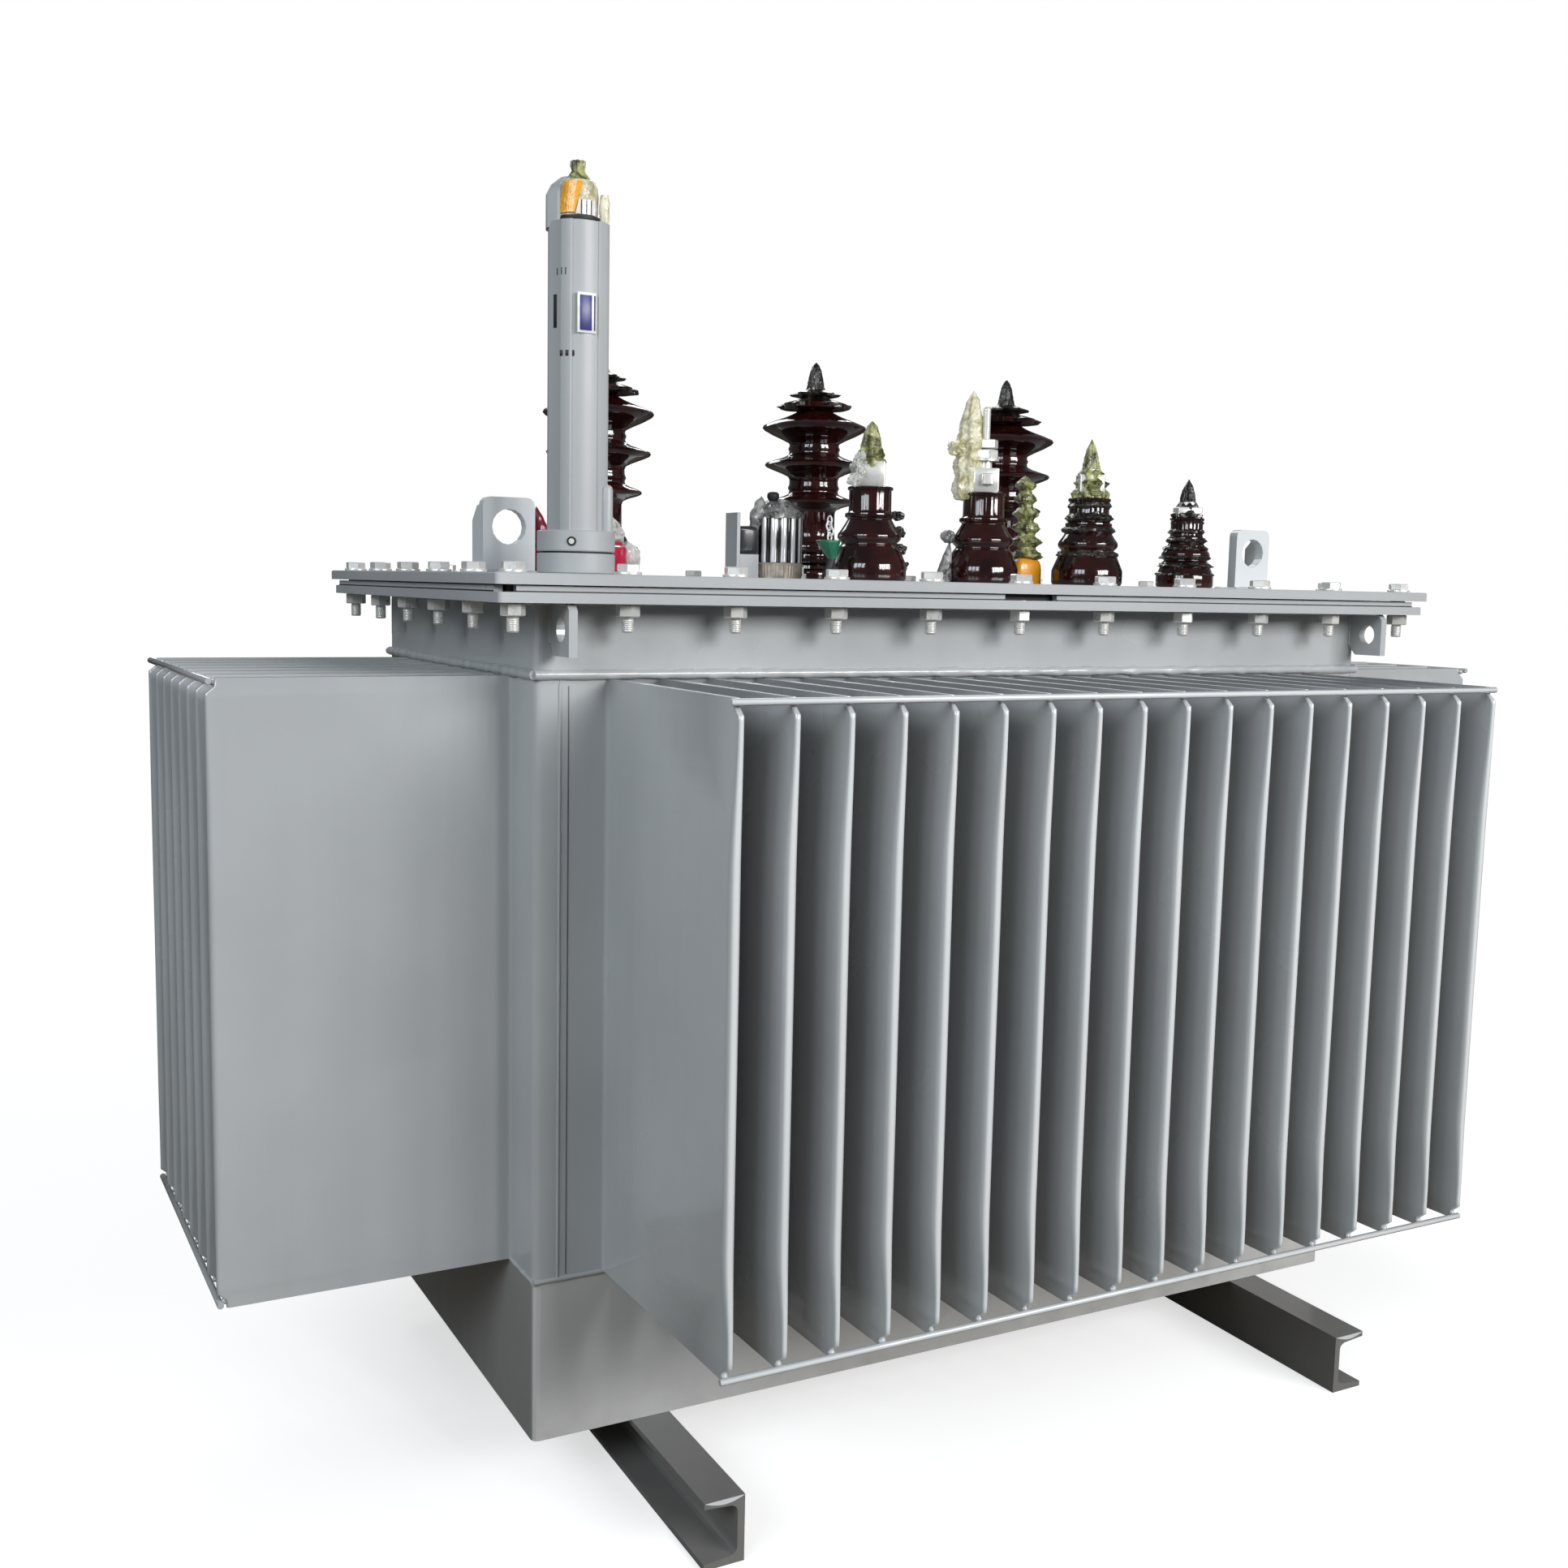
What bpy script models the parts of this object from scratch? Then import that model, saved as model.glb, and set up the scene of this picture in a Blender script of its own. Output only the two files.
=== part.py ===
"""Oil-immersed distribution transformer with a sealed corrugated tank.

Metres, +Z up. The origin is on the ground under the middle of the tank, the long front face looks along -Y.
Run with blender --background --python part.py or from the text editor.
"""
import math

import bmesh
import bpy
from mathutils import Matrix, Vector
from mathutils.geometry import tessellate_polygon

# Seats between touching pieces
SEAT_GAP = 0.0003

# Tank shell
TANK_LENGTH = 1.000
TANK_WIDTH = 0.490
TANK_HEIGHT = 0.783
BASE_HEIGHT = 0.156
BASE_SHEET = 0.004
BASE_FLOOR = 0.006
CORNER_RADIUS = 0.007
COLLAR_HEIGHT = 0.068
COLLAR_SHEET = 0.005
WELD_LEDGE_RISE = 0.008
WELD_LEDGE_REACH = 0.003
WELD_LEDGE_BEVEL = 0.0025

# Corrugated fin walls
FIN_WALL_HEIGHT = TANK_HEIGHT - BASE_HEIGHT - COLLAR_HEIGHT
FIN_SHEET = 0.002
FIN_PITCH = 0.050
FIN_THICKNESS = 0.011
FIN_PINCHED = 0.004
FIN_EDGE_MARGIN = 0.060
FRONT_FIN_DEPTH = 0.257
END_FIN_DEPTH = 0.270
PINCH_HEIGHT = 0.042
PINCH_RAMP = 0.026
CORNER_LAP = 0.023
ROD_DIAMETER = 0.008
ROD_OVERRUN = 0.003
ROD_WELD_DEPTH = 0.0006

# Rim flange, gasket and lid
FLANGE_OVERHANG = 0.050
FLANGE_THICKNESS = 0.009
STOP_BAR_WIDTH = 0.008
STOP_BAR_HEIGHT = 0.0055
STOP_BAR_CORNER_GAP = 0.016
STOP_BAR_MIDDLE_GAP = 0.063
STOP_BAR_ROOT = 0.001
GASKET_THICKNESS = 0.0066
GASKET_INSET = 0.002
LID_OVERHANG = 0.054
LID_THICKNESS = 0.010
LID_EDGE_BEVEL = 0.0012

# Corner plates under the flange
CORNER_PLATE_DEPTH = 0.047
LEFT_PLATE_SETBACK = 0.014
RIGHT_PLATE_SETBACK = 0.002
CORNER_PLATE_THICKNESS = 0.008
CORNER_PLATE_HEIGHT = 0.047
CORNER_PLATE_HOLE = 0.022
CORNER_PLATE_HOLE_DEPTH_SHARE = 0.56
CORNER_PLATE_HOLE_DROP_SHARE = 0.5
CORNER_PLATE_NOTCH = 0.010
CORNER_PLATE_SNIP = 0.006

# Feet, rolled channels open outwards
FOOT_HEIGHT = 0.063
FOOT_FLANGE = 0.040
FOOT_WEB = 0.007
FOOT_FLANGE_ROOT = 0.0085
FOOT_FLANGE_TIP = 0.0055
FOOT_FILLET = 0.006
FOOT_OVERRUN = 0.165
FOOT_LENGTH = TANK_WIDTH + 2 * FOOT_OVERRUN
FOOT_SPACING_SHARE = 0.72
FOOT_SPACING = TANK_LENGTH * FOOT_SPACING_SHARE

# Lifting lugs on the lid
LEFT_LUG_INSET = 0.0245
RIGHT_LUG_INSET = 0.0295
LUG_SIDE_INSET = 0.150
LUG_SETBACK = TANK_WIDTH / 2 - LUG_SIDE_INSET
LUG_WIDTH = 0.052
LUG_HEIGHT = 0.072
LUG_PLATE = 0.013
LUG_HOLE = 0.034
LUG_HOLE_RISE_SHARE = 0.61
LUG_CORNER = 0.008
LUG_RETURN_DEPTH = 0.027
LUG_RETURN_PLATE = 0.007
LUG_RETURN_SNIP_DEPTH = 0.015
LUG_RETURN_SNIP_DROP = 0.014

# High-voltage bushings, rear row
HV_SIDE_INSET = 0.120
HV_ROW = TANK_WIDTH / 2 - HV_SIDE_INSET
HV_SPACING_SHARE = 0.2757
HV_END_SHARE = 0.2436
HV_SPACING = TANK_LENGTH * HV_SPACING_SHARE
HV_COUNT = 3
HV_FIRST = TANK_LENGTH * (0.5 - HV_END_SHARE) - HV_SPACING * (HV_COUNT - 1)
HV_SHED_RADIUS = 0.062
HV_PROFILE_SHARES = (
    (0.55, 0.000), (0.55, 0.057), (0.45, 0.066), (0.45, 0.085), (0.53, 0.099), (0.53, 0.108),
    (0.44, 0.123), (0.44, 0.148), (0.53, 0.160), (0.53, 0.198), (0.43, 0.226), (0.42, 0.400),
    (0.745, 0.426), (0.775, 0.439), (0.745, 0.453), (0.48, 0.482), (0.47, 0.575),
    (0.905, 0.625), (0.935, 0.642), (0.905, 0.658), (0.49, 0.698), (0.47, 0.755),
    (0.97, 0.832), (1.000, 0.849), (0.97, 0.866), (0.47, 0.922), (0.35, 0.938), (0.35, 0.950),
    (0.60, 0.953), (0.60, 0.985), (0.45, 1.000),
)
HV_PORCELAIN_HEIGHT = 0.212
HV_TOTAL_HEIGHT = 0.257

# Low-voltage bushings, front row
LV_SIDE_INSET = 0.130
LV_ROW = -TANK_WIDTH / 2 + LV_SIDE_INSET
LV_SPACING_SHARE = 0.1451
LV_END_SHARE = 0.1472
LV_SPACING = TANK_LENGTH * LV_SPACING_SHARE
LV_COUNT = 4
LV_FIRST = TANK_LENGTH * (0.5 - LV_END_SHARE) - LV_SPACING * (LV_COUNT - 1)
LV_BASE_RADIUS = 0.040
LV_HEIGHT = 0.099
LV_SMALL_SHARE = 0.83
LV_PROFILE_SHARES = (
    (0.94, 0.00), (1.00, 0.03), (1.00, 0.17), (0.80, 0.36), (0.74, 0.39), (0.74, 0.42),
    (0.84, 0.46), (0.83, 0.50), (0.63, 0.66), (0.70, 0.69), (0.70, 0.72), (0.655, 0.735), (0.655, 1.00),
)
LV_TERMINAL_HEIGHTS = (0.069, 0.111, 0.067, 0.046)

# Terminal hardware shared by both rows
STUD_RADIUS = 0.006
TERMINAL_RADIUS = 0.022
TERMINAL_CAP_HEIGHT = 0.014
TERMINAL_NUT_SHARE = 0.7

# Oil level gauge tube
GAUGE_END_INSET = 0.055
GAUGE_SIDE_INSET = 0.045
GAUGE_X = -TANK_LENGTH / 2 + GAUGE_END_INSET
GAUGE_Y = -TANK_WIDTH / 2 + GAUGE_SIDE_INSET
GAUGE_RING_RADIUS = 0.0355
GAUGE_RING_HEIGHT = 0.0185
GAUGE_RING_SPLIT = 0.0015
GAUGE_NECK_RADIUS = 0.030
GAUGE_TUBE_RADIUS = 0.026
GAUGE_RING_TOP = 0.039
GAUGE_TUBE_TOP = 0.311
GAUGE_CAP_HEIGHT = 0.036
GAUGE_CAP_RADIUS = 0.029
GAUGE_CAP_SKIRT = 0.010
GAUGE_HUMP_WIDTH = 0.010
GAUGE_HUMP_PROUD = 0.004
GAUGE_RIB_WIDTH = 0.0105
GAUGE_RIB_PROUD = 0.0015
GAUGE_KNOT_TIP = 0.366
GAUGE_HUMP_TURN = -math.radians(29)
GAUGE_RIB_TURN = -math.radians(132.6)
GAUGE_SHOULDER_SHARE = 0.93
GAUGE_CROWN_SHARE = 0.6
GAUGE_KNOT_SHARE = 0.28
GAUGE_TIP_SHARE = 0.12
GAUGE_SHOULDER_RISE_SHARE = 0.7

# Smaller lid fittings
RELAY_ALONG = 0.055
RELAY_BEHIND = 0.140
RELAY_X = GAUGE_X + RELAY_ALONG
RELAY_Y = GAUGE_Y + RELAY_BEHIND
RELAY_RADIUS = 0.0495
RELAY_HEIGHT = 0.036
RELAY_DOME = 0.010
RELAY_SHOULDER_SHARE = 0.86
RELAY_CROWN_SHARE = 0.6
TAP_BEFORE_LV = 0.060
TAP_BEHIND_LV = 0.094
TAP_X = LV_FIRST - TAP_BEFORE_LV
TAP_Y = LV_ROW + TAP_BEHIND_LV
TAP_RADIUS = 0.0265
TAP_BASE_RADIUS = 0.0275
TAP_BASE_HEIGHT = 0.018
TAP_HEIGHT = 0.069
TAP_FLUTES = 16
TAP_FLUTE_DEPTH_SHARE = 0.08
TAP_FOOT_SHARE = 0.94
TAP_KNURL_SHARES = (0.2, 0.9)
TAP_CROWN_SHARE = 0.9
TAP_CROWN_DROP_SHARE = 0.12
RELIEF_BEFORE_TAP = 0.0415
RELIEF_X = TAP_X - RELIEF_BEFORE_TAP
RELIEF_Y = TAP_Y
RELIEF_WIDTH = 0.022
RELIEF_DEPTH = 0.028
RELIEF_HEIGHT = 0.030
RELIEF_RAISE = 0.026
RELIEF_CORNER = 0.004
BRACKET_PLATE = 0.004
BRACKET_HEIGHT = 0.070
FILLER_BEFORE_LV = 0.061
FILLER_AHEAD_OF_LV = 0.020
FILLER_X = LV_FIRST - FILLER_BEFORE_LV
FILLER_Y = LV_ROW - FILLER_AHEAD_OF_LV
FILLER_STEM_RADIUS = 0.005
FILLER_STEM_HEIGHT = 0.021
FILLER_CAP_RADIUS = 0.012
FILLER_CAP_TOP = 0.041
FILLER_CROWN_SHARE = 0.9
BLOCK_BEFORE_LV = 0.055
BLOCK_BEHIND_LV = 0.045
CONTACT_BLOCK_X = LV_FIRST + 2 * LV_SPACING - BLOCK_BEFORE_LV
CONTACT_BLOCK_Y = LV_ROW + BLOCK_BEHIND_LV
CONTACT_BLOCK_WIDTH = 0.036
CONTACT_BLOCK_DEPTH = 0.026
CONTACT_BLOCK_HEIGHT = 0.030

# Facets of the round forms
ROUND_SEGMENTS = 20
SHED_SEGMENTS = 20
SMALL_SEGMENTS = 10
ROD_SEGMENTS = 6
HOLE_SEGMENTS = 16
CORNER_STEPS = 3
NOSE_STEPS = 4
FLAT_FOLD_ANGLE = math.radians(40)
ROUND_FOLD_ANGLE = math.radians(50)

# Heights of the stacked pieces
BASE_BOTTOM = FOOT_HEIGHT
FIN_WALL_BOTTOM = BASE_BOTTOM + BASE_HEIGHT
COLLAR_BOTTOM = FIN_WALL_BOTTOM + FIN_WALL_HEIGHT
FLANGE_BOTTOM = COLLAR_BOTTOM + COLLAR_HEIGHT
FLANGE_TOP = FLANGE_BOTTOM + FLANGE_THICKNESS
LID_BOTTOM = FLANGE_TOP + GASKET_THICKNESS
LID_TOP = LID_BOTTOM + LID_THICKNESS


def clear_scene():
    for item in list(bpy.data.objects):
        bpy.data.objects.remove(item, do_unlink=True)


def finish_material(name, colour, roughness, metallic=0.0):
    found = bpy.data.materials.get(name)
    if found:
        return found
    made = bpy.data.materials.new(name)
    made.use_nodes = True
    shader = made.node_tree.nodes["Principled BSDF"]
    shader.inputs["Base Color"].default_value = (*colour, 1.0)
    shader.inputs["Roughness"].default_value = roughness
    shader.inputs["Metallic"].default_value = metallic
    made.diffuse_color = (*colour, 1.0)
    return made


def enamel():
    return finish_material("grey_enamel", (0.62, 0.64, 0.65), 0.28)


def zinc():
    return finish_material("bright_zinc", (0.66, 0.66, 0.63), 0.32, 1.0)


def porcelain():
    return finish_material("brown_porcelain", (0.075, 0.012, 0.012), 0.12)


def black_rubber():
    return finish_material("black_rubber", (0.02, 0.02, 0.02), 0.7)


def place(name, mesh, material, parent, at=(0.0, 0.0, 0.0), turn=0.0, smooth_below=None):
    """Put a mesh in the scene as one named piece, turned about its own upright axis."""
    mesh.materials.clear()
    mesh.materials.append(material)
    if smooth_below is not None:
        mesh.shade_smooth()
        mesh.set_sharp_from_angle(angle=smooth_below)
    piece = bpy.data.objects.new(name, mesh)
    piece.location = at
    piece.rotation_euler = (0.0, 0.0, turn)
    piece.parent = parent
    bpy.context.scene.collection.objects.link(piece)
    return piece


def as_mesh(name, shape):
    """Close a bmesh into a mesh whose faces point outwards."""
    bmesh.ops.recalc_face_normals(shape, faces=shape.faces[:])
    mesh = bpy.data.meshes.new(name)
    shape.to_mesh(mesh)
    shape.free()
    return mesh


def loft(name, levels):
    """Join closed loops of equal point counts by walls, and close the first and last loop."""
    shape = bmesh.new()
    rings = [[shape.verts.new(point) for point in level] for level in levels]
    count = len(rings[0])
    for low, high in zip(rings, rings[1:]):
        for i in range(count):
            j = (i + 1) % count
            shape.faces.new((low[i], low[j], high[j], high[i]))
    shape.faces.new(rings[0])
    shape.faces.new(list(reversed(rings[-1])))
    return as_mesh(name, shape)


def ring_loft(name, levels):
    """Join closed loops all the way round, so that the last loop meets the first."""
    shape = bmesh.new()
    rings = [[shape.verts.new(point) for point in level] for level in levels]
    count = len(rings[0])
    for low, high in zip(rings, rings[1:] + rings[:1]):
        for i in range(count):
            j = (i + 1) % count
            shape.faces.new((low[i], low[j], high[j], high[i]))
    return as_mesh(name, shape)


def revolve(name, profile, segments):
    """Turn (radius, height) points about the upright axis; a radius of zero closes to a point."""
    shape = bmesh.new()
    rings = []
    for radius, height in profile:
        if radius <= 0.0:
            rings.append([shape.verts.new((0.0, 0.0, height))])
            continue
        rings.append([
            shape.verts.new((radius * math.cos(a), radius * math.sin(a), height))
            for a in (2.0 * math.pi * k / segments for k in range(segments))
        ])
    for low, high in zip(rings, rings[1:]):
        for i in range(segments):
            j = (i + 1) % segments
            if len(low) == 1:
                shape.faces.new((low[0], high[j], high[i]))
            elif len(high) == 1:
                shape.faces.new((low[i], low[j], high[0]))
            else:
                shape.faces.new((low[i], low[j], high[j], high[i]))
    return as_mesh(name, shape)


def rounded_box_outline(length, width, radius, steps=CORNER_STEPS):
    """Counter-clockwise outline of a rectangle with rounded corners, centred on the origin."""
    half_x = length / 2 - radius
    half_y = width / 2 - radius
    points = []
    for quarter, (sx, sy) in enumerate(((1, 1), (-1, 1), (-1, -1), (1, -1))):
        for step in range(steps + 1):
            angle = math.pi / 2 * (quarter + step / steps)
            points.append((sx * half_x + radius * math.cos(angle), sy * half_y + radius * math.sin(angle)))
    return points


def at_height(outline, height):
    return [(x, y, height) for x, y in outline]


def plate_mesh(name, outlines, thickness):
    """Flat plate in the XZ plane from an outer outline and hole outlines, centred on y = 0."""
    loops = [[Vector((x, 0.0, z)) for x, z in outline] for outline in outlines]
    flat = [point for loop in loops for point in loop]
    triangles = tessellate_polygon(loops)
    shape = bmesh.new()
    front = [shape.verts.new((p.x, -thickness / 2, p.z)) for p in flat]
    back = [shape.verts.new((p.x, thickness / 2, p.z)) for p in flat]
    for a, b, c in triangles:
        shape.faces.new((front[a], front[b], front[c]))
        shape.faces.new((back[c], back[b], back[a]))
    start = 0
    for loop in loops:
        for i in range(len(loop)):
            a = start + i
            b = start + (i + 1) % len(loop)
            shape.faces.new((front[a], front[b], back[b], back[a]))
        start += len(loop)
    return as_mesh(name, shape)


def circle_outline(x, z, radius, segments=HOLE_SEGMENTS):
    return [
        (x + radius * math.cos(a), z + radius * math.sin(a))
        for a in (2.0 * math.pi * k / segments for k in range(segments))
    ]


def join_by_union(piece, tool_mesh, tool_name, at=(0.0, 0.0, 0.0), turn=0.0):
    """Weld a second shape onto a piece with a live union."""
    tool = bpy.data.objects.new(tool_name, tool_mesh)
    tool.location = at
    tool.rotation_euler = (0.0, 0.0, turn)
    tool.parent = piece.parent
    tool.hide_render = True
    tool.display_type = 'WIRE'
    bpy.context.scene.collection.objects.link(tool)
    union = piece.modifiers.new("weld_" + tool_name, 'BOOLEAN')
    union.operation = 'UNION'
    union.solver = 'EXACT'
    union.object = tool


def build_base(root):
    """Plain folded tray that carries the walls."""
    outer = rounded_box_outline(TANK_LENGTH, TANK_WIDTH, CORNER_RADIUS)
    inner = rounded_box_outline(TANK_LENGTH - 2 * BASE_SHEET, TANK_WIDTH - 2 * BASE_SHEET,
                                CORNER_RADIUS - BASE_SHEET)
    top = BASE_HEIGHT - SEAT_GAP
    mesh = loft("tank_base", [
        at_height(outer, SEAT_GAP), at_height(outer, top),
        at_height(inner, top), at_height(inner, BASE_FLOOR),
    ])
    place("tank_base", mesh, enamel(), root, at=(0.0, 0.0, BASE_BOTTOM))


def fin_places(wall_length):
    """Places of the fins along a wall, as many as fit between its edge margins."""
    count = int((wall_length - 2 * FIN_EDGE_MARGIN) / FIN_PITCH + 1)
    first = -FIN_PITCH * (count - 1) / 2
    return [first + FIN_PITCH * i for i in range(count)]


def fin_outline(x, thickness, depth):
    """Outline of one fin, from its left root round the folded nose to its right root."""
    half = thickness / 2
    points = [(x - half, 0.0)]
    for step in range(NOSE_STEPS + 1):
        angle = math.pi * step / NOSE_STEPS
        points.append((x - half * math.cos(angle), half - depth - half * math.sin(angle)))
    points.append((x + half, 0.0))
    return points


def fin_wall_outline(wall_length, corner_return, thickness, depth):
    """Plan outline of a fin wall: outer face at y = 0, fins towards -Y, inner face behind."""
    half = wall_length / 2
    outer = []
    inner = []
    if corner_return:
        bend = CORNER_RADIUS
        inner_bend = CORNER_RADIUS - FIN_SHEET
        arc = [math.pi / 2 * step / CORNER_STEPS for step in range(CORNER_STEPS + 1)]
        back = arc[::-1]
        outer.append((-half, CORNER_LAP))
        outer += [(-half + bend * (1 - math.cos(a)), bend * (1 - math.sin(a))) for a in arc]
        right = [(half - bend * (1 - math.cos(a)), bend * (1 - math.sin(a))) for a in back]
        inner.append((half - FIN_SHEET, CORNER_LAP))
        inner += [(half - bend + inner_bend * math.cos(a), bend - inner_bend * math.sin(a)) for a in arc]
        inner += [(-half + bend - inner_bend * math.cos(a), bend - inner_bend * math.sin(a)) for a in back]
        inner.append((-half + FIN_SHEET, CORNER_LAP))
    else:
        edge = half - CORNER_LAP - SEAT_GAP
        outer.append((-edge, 0.0))
        right = []
        inner += [(edge, FIN_SHEET), (-edge, FIN_SHEET)]
    for x in fin_places(wall_length):
        outer += fin_outline(x, thickness, depth)
    outer += right
    outer.append((half, CORNER_LAP) if corner_return else (edge, 0.0))
    return outer + inner


def fin_wall_mesh(name, wall_length, corner_return, depth):
    """Folded wall whose fins are pinched flat at both ends and cut back at the rods."""
    height = FIN_WALL_HEIGHT - SEAT_GAP
    snip = ROD_DIAMETER + (ROD_DIAMETER / 2 - ROD_WELD_DEPTH) * math.sqrt(2.0)
    pinched = (FIN_PINCHED, depth)
    full = (FIN_THICKNESS, depth)
    cut = (FIN_PINCHED, depth - snip)
    levels = (
        (0.0, cut), (snip, pinched), (PINCH_HEIGHT, pinched), (PINCH_HEIGHT + PINCH_RAMP, full),
        (height - PINCH_HEIGHT - PINCH_RAMP, full), (height - PINCH_HEIGHT, pinched),
        (height - snip, pinched), (height, cut),
    )
    return loft(name, [
        at_height(fin_wall_outline(wall_length, corner_return, *section), z) for z, section in levels
    ])


def rod_pair_mesh(name, wall_length, depth):
    """The two round rods across the outer fin corners of one wall."""
    places = fin_places(wall_length)
    reach = places[-1] + FIN_PINCHED / 2 + ROD_OVERRUN
    radius = ROD_DIAMETER / 2
    height = FIN_WALL_HEIGHT - SEAT_GAP
    shape = bmesh.new()
    for level in (radius, height - radius):
        ends = []
        for x in (-reach, reach):
            ends.append([
                shape.verts.new((x, -(depth - radius) + radius * math.cos(a), level + radius * math.sin(a)))
                for a in (2.0 * math.pi * (k + 0.5) / ROD_SEGMENTS for k in range(ROD_SEGMENTS))
            ])
        left, right = ends
        for i in range(ROD_SEGMENTS):
            j = (i + 1) % ROD_SEGMENTS
            shape.faces.new((left[i], left[j], right[j], right[i]))
        shape.faces.new(left)
        shape.faces.new(list(reversed(right)))
    return as_mesh(name, shape)


def build_fin_walls(root):
    """Four corrugated walls; the end walls turn the corners and lap onto the long faces."""
    walls = (
        ("front_fin_wall", TANK_LENGTH, False, FRONT_FIN_DEPTH, (0.0, -TANK_WIDTH / 2), 0.0),
        ("rear_fin_wall", TANK_LENGTH, False, FRONT_FIN_DEPTH, (0.0, TANK_WIDTH / 2), math.pi),
        ("left_fin_wall", TANK_WIDTH, True, END_FIN_DEPTH, (-TANK_LENGTH / 2, 0.0), -math.pi / 2),
        ("right_fin_wall", TANK_WIDTH, True, END_FIN_DEPTH, (TANK_LENGTH / 2, 0.0), math.pi / 2),
    )
    for name, length, corner_return, depth, (x, y), turn in walls:
        at = (x, y, FIN_WALL_BOTTOM)
        mesh = fin_wall_mesh(name, length, corner_return, depth)
        piece = place(name, mesh, enamel(), root, at=at, turn=turn, smooth_below=ROUND_FOLD_ANGLE)
        join_by_union(piece, rod_pair_mesh(name + "_rods", length, depth), name + "_rods", at=at, turn=turn)


def build_collar(root):
    """Plain band above the fins, with the rounded weld ledge round its foot."""
    def band(proud, height):
        outline = rounded_box_outline(TANK_LENGTH + 2 * proud, TANK_WIDTH + 2 * proud, CORNER_RADIUS + proud)
        return at_height(outline, height)

    top = COLLAR_HEIGHT - SEAT_GAP
    inner = rounded_box_outline(TANK_LENGTH - 2 * COLLAR_SHEET, TANK_WIDTH - 2 * COLLAR_SHEET,
                                CORNER_RADIUS - COLLAR_SHEET)
    mesh = ring_loft("tank_collar", [
        band(WELD_LEDGE_REACH - WELD_LEDGE_BEVEL, 0.0),
        band(WELD_LEDGE_REACH, WELD_LEDGE_BEVEL),
        band(WELD_LEDGE_REACH, WELD_LEDGE_RISE - WELD_LEDGE_BEVEL),
        band(0.0, WELD_LEDGE_RISE),
        band(0.0, top),
        at_height(inner, top),
        at_height(inner, 0.0),
    ])
    place("tank_collar", mesh, enamel(), root, at=(0.0, 0.0, COLLAR_BOTTOM), smooth_below=FLAT_FOLD_ANGLE)


def frame_mesh(name, outer_size, inner_size, thickness):
    """Flat rectangular frame, its underside at z = 0."""
    outer = rounded_box_outline(*outer_size)
    inner = rounded_box_outline(*inner_size)
    return ring_loft(name, [
        at_height(outer, 0.0), at_height(outer, thickness),
        at_height(inner, thickness), at_height(inner, 0.0),
    ])


def box_into(shape, low, high):
    plan = ((low[0], low[1]), (high[0], low[1]), (high[0], high[1]), (low[0], high[1]))
    corners = [shape.verts.new((x, y, z)) for z in (low[2], high[2]) for x, y in plan]
    for face in ((3, 2, 1, 0), (4, 5, 6, 7), (0, 1, 5, 4), (1, 2, 6, 5), (2, 3, 7, 6), (3, 0, 4, 7)):
        shape.faces.new([corners[i] for i in face])


def stop_bar_mesh(name):
    """Square bars along the flange edge, open at the corners and at the middle of the long sides."""
    half_x = TANK_LENGTH / 2 + FLANGE_OVERHANG
    half_y = TANK_WIDTH / 2 + FLANGE_OVERHANG
    low = FLANGE_THICKNESS - STOP_BAR_ROOT
    high = FLANGE_THICKNESS + STOP_BAR_HEIGHT
    inset = STOP_BAR_ROOT
    end_x = half_x - STOP_BAR_CORNER_GAP
    end_y = half_y - STOP_BAR_CORNER_GAP
    shape = bmesh.new()
    for sy in (-1, 1):
        near, far = sorted((sy * (half_y - inset), sy * (half_y - inset - STOP_BAR_WIDTH)))
        for x0, x1 in ((-end_x, -STOP_BAR_MIDDLE_GAP / 2), (STOP_BAR_MIDDLE_GAP / 2, end_x)):
            box_into(shape, (x0, near, low), (x1, far, high))
    for sx in (-1, 1):
        near, far = sorted((sx * (half_x - inset), sx * (half_x - inset - STOP_BAR_WIDTH)))
        box_into(shape, (near, -end_y, low), (far, end_y, high))
    return as_mesh(name, shape)


def build_rim(root):
    """Flange with its stop bars, the gasket inside them and the lid on top."""
    hole = (TANK_LENGTH - 2 * COLLAR_SHEET, TANK_WIDTH - 2 * COLLAR_SHEET, CORNER_RADIUS)
    rim = (TANK_LENGTH + 2 * FLANGE_OVERHANG, TANK_WIDTH + 2 * FLANGE_OVERHANG, CORNER_RADIUS / 2)
    flange = frame_mesh("rim_flange", rim, hole, FLANGE_THICKNESS)
    piece = place("rim_flange", flange, enamel(), root, at=(0.0, 0.0, FLANGE_BOTTOM))
    join_by_union(piece, stop_bar_mesh("stop_bars"), "stop_bars", at=(0.0, 0.0, FLANGE_BOTTOM))

    inset = STOP_BAR_ROOT + STOP_BAR_WIDTH + GASKET_INSET
    reach = 2 * (FLANGE_OVERHANG - inset)
    gasket = frame_mesh("lid_gasket", (TANK_LENGTH + reach, TANK_WIDTH + reach, CORNER_RADIUS), hole,
                        GASKET_THICKNESS - 2 * SEAT_GAP)
    place("lid_gasket", gasket, black_rubber(), root, at=(0.0, 0.0, FLANGE_TOP + SEAT_GAP))

    def slab(inset_edge, height):
        return at_height(rounded_box_outline(
            TANK_LENGTH + 2 * (LID_OVERHANG - inset_edge), TANK_WIDTH + 2 * (LID_OVERHANG - inset_edge),
            CORNER_RADIUS / 2), height)

    lid = loft("lid", [
        slab(0.0, 0.0), slab(0.0, LID_THICKNESS - LID_EDGE_BEVEL), slab(LID_EDGE_BEVEL, LID_THICKNESS),
    ])
    place("lid", lid, enamel(), root, at=(0.0, 0.0, LID_BOTTOM))


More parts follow.
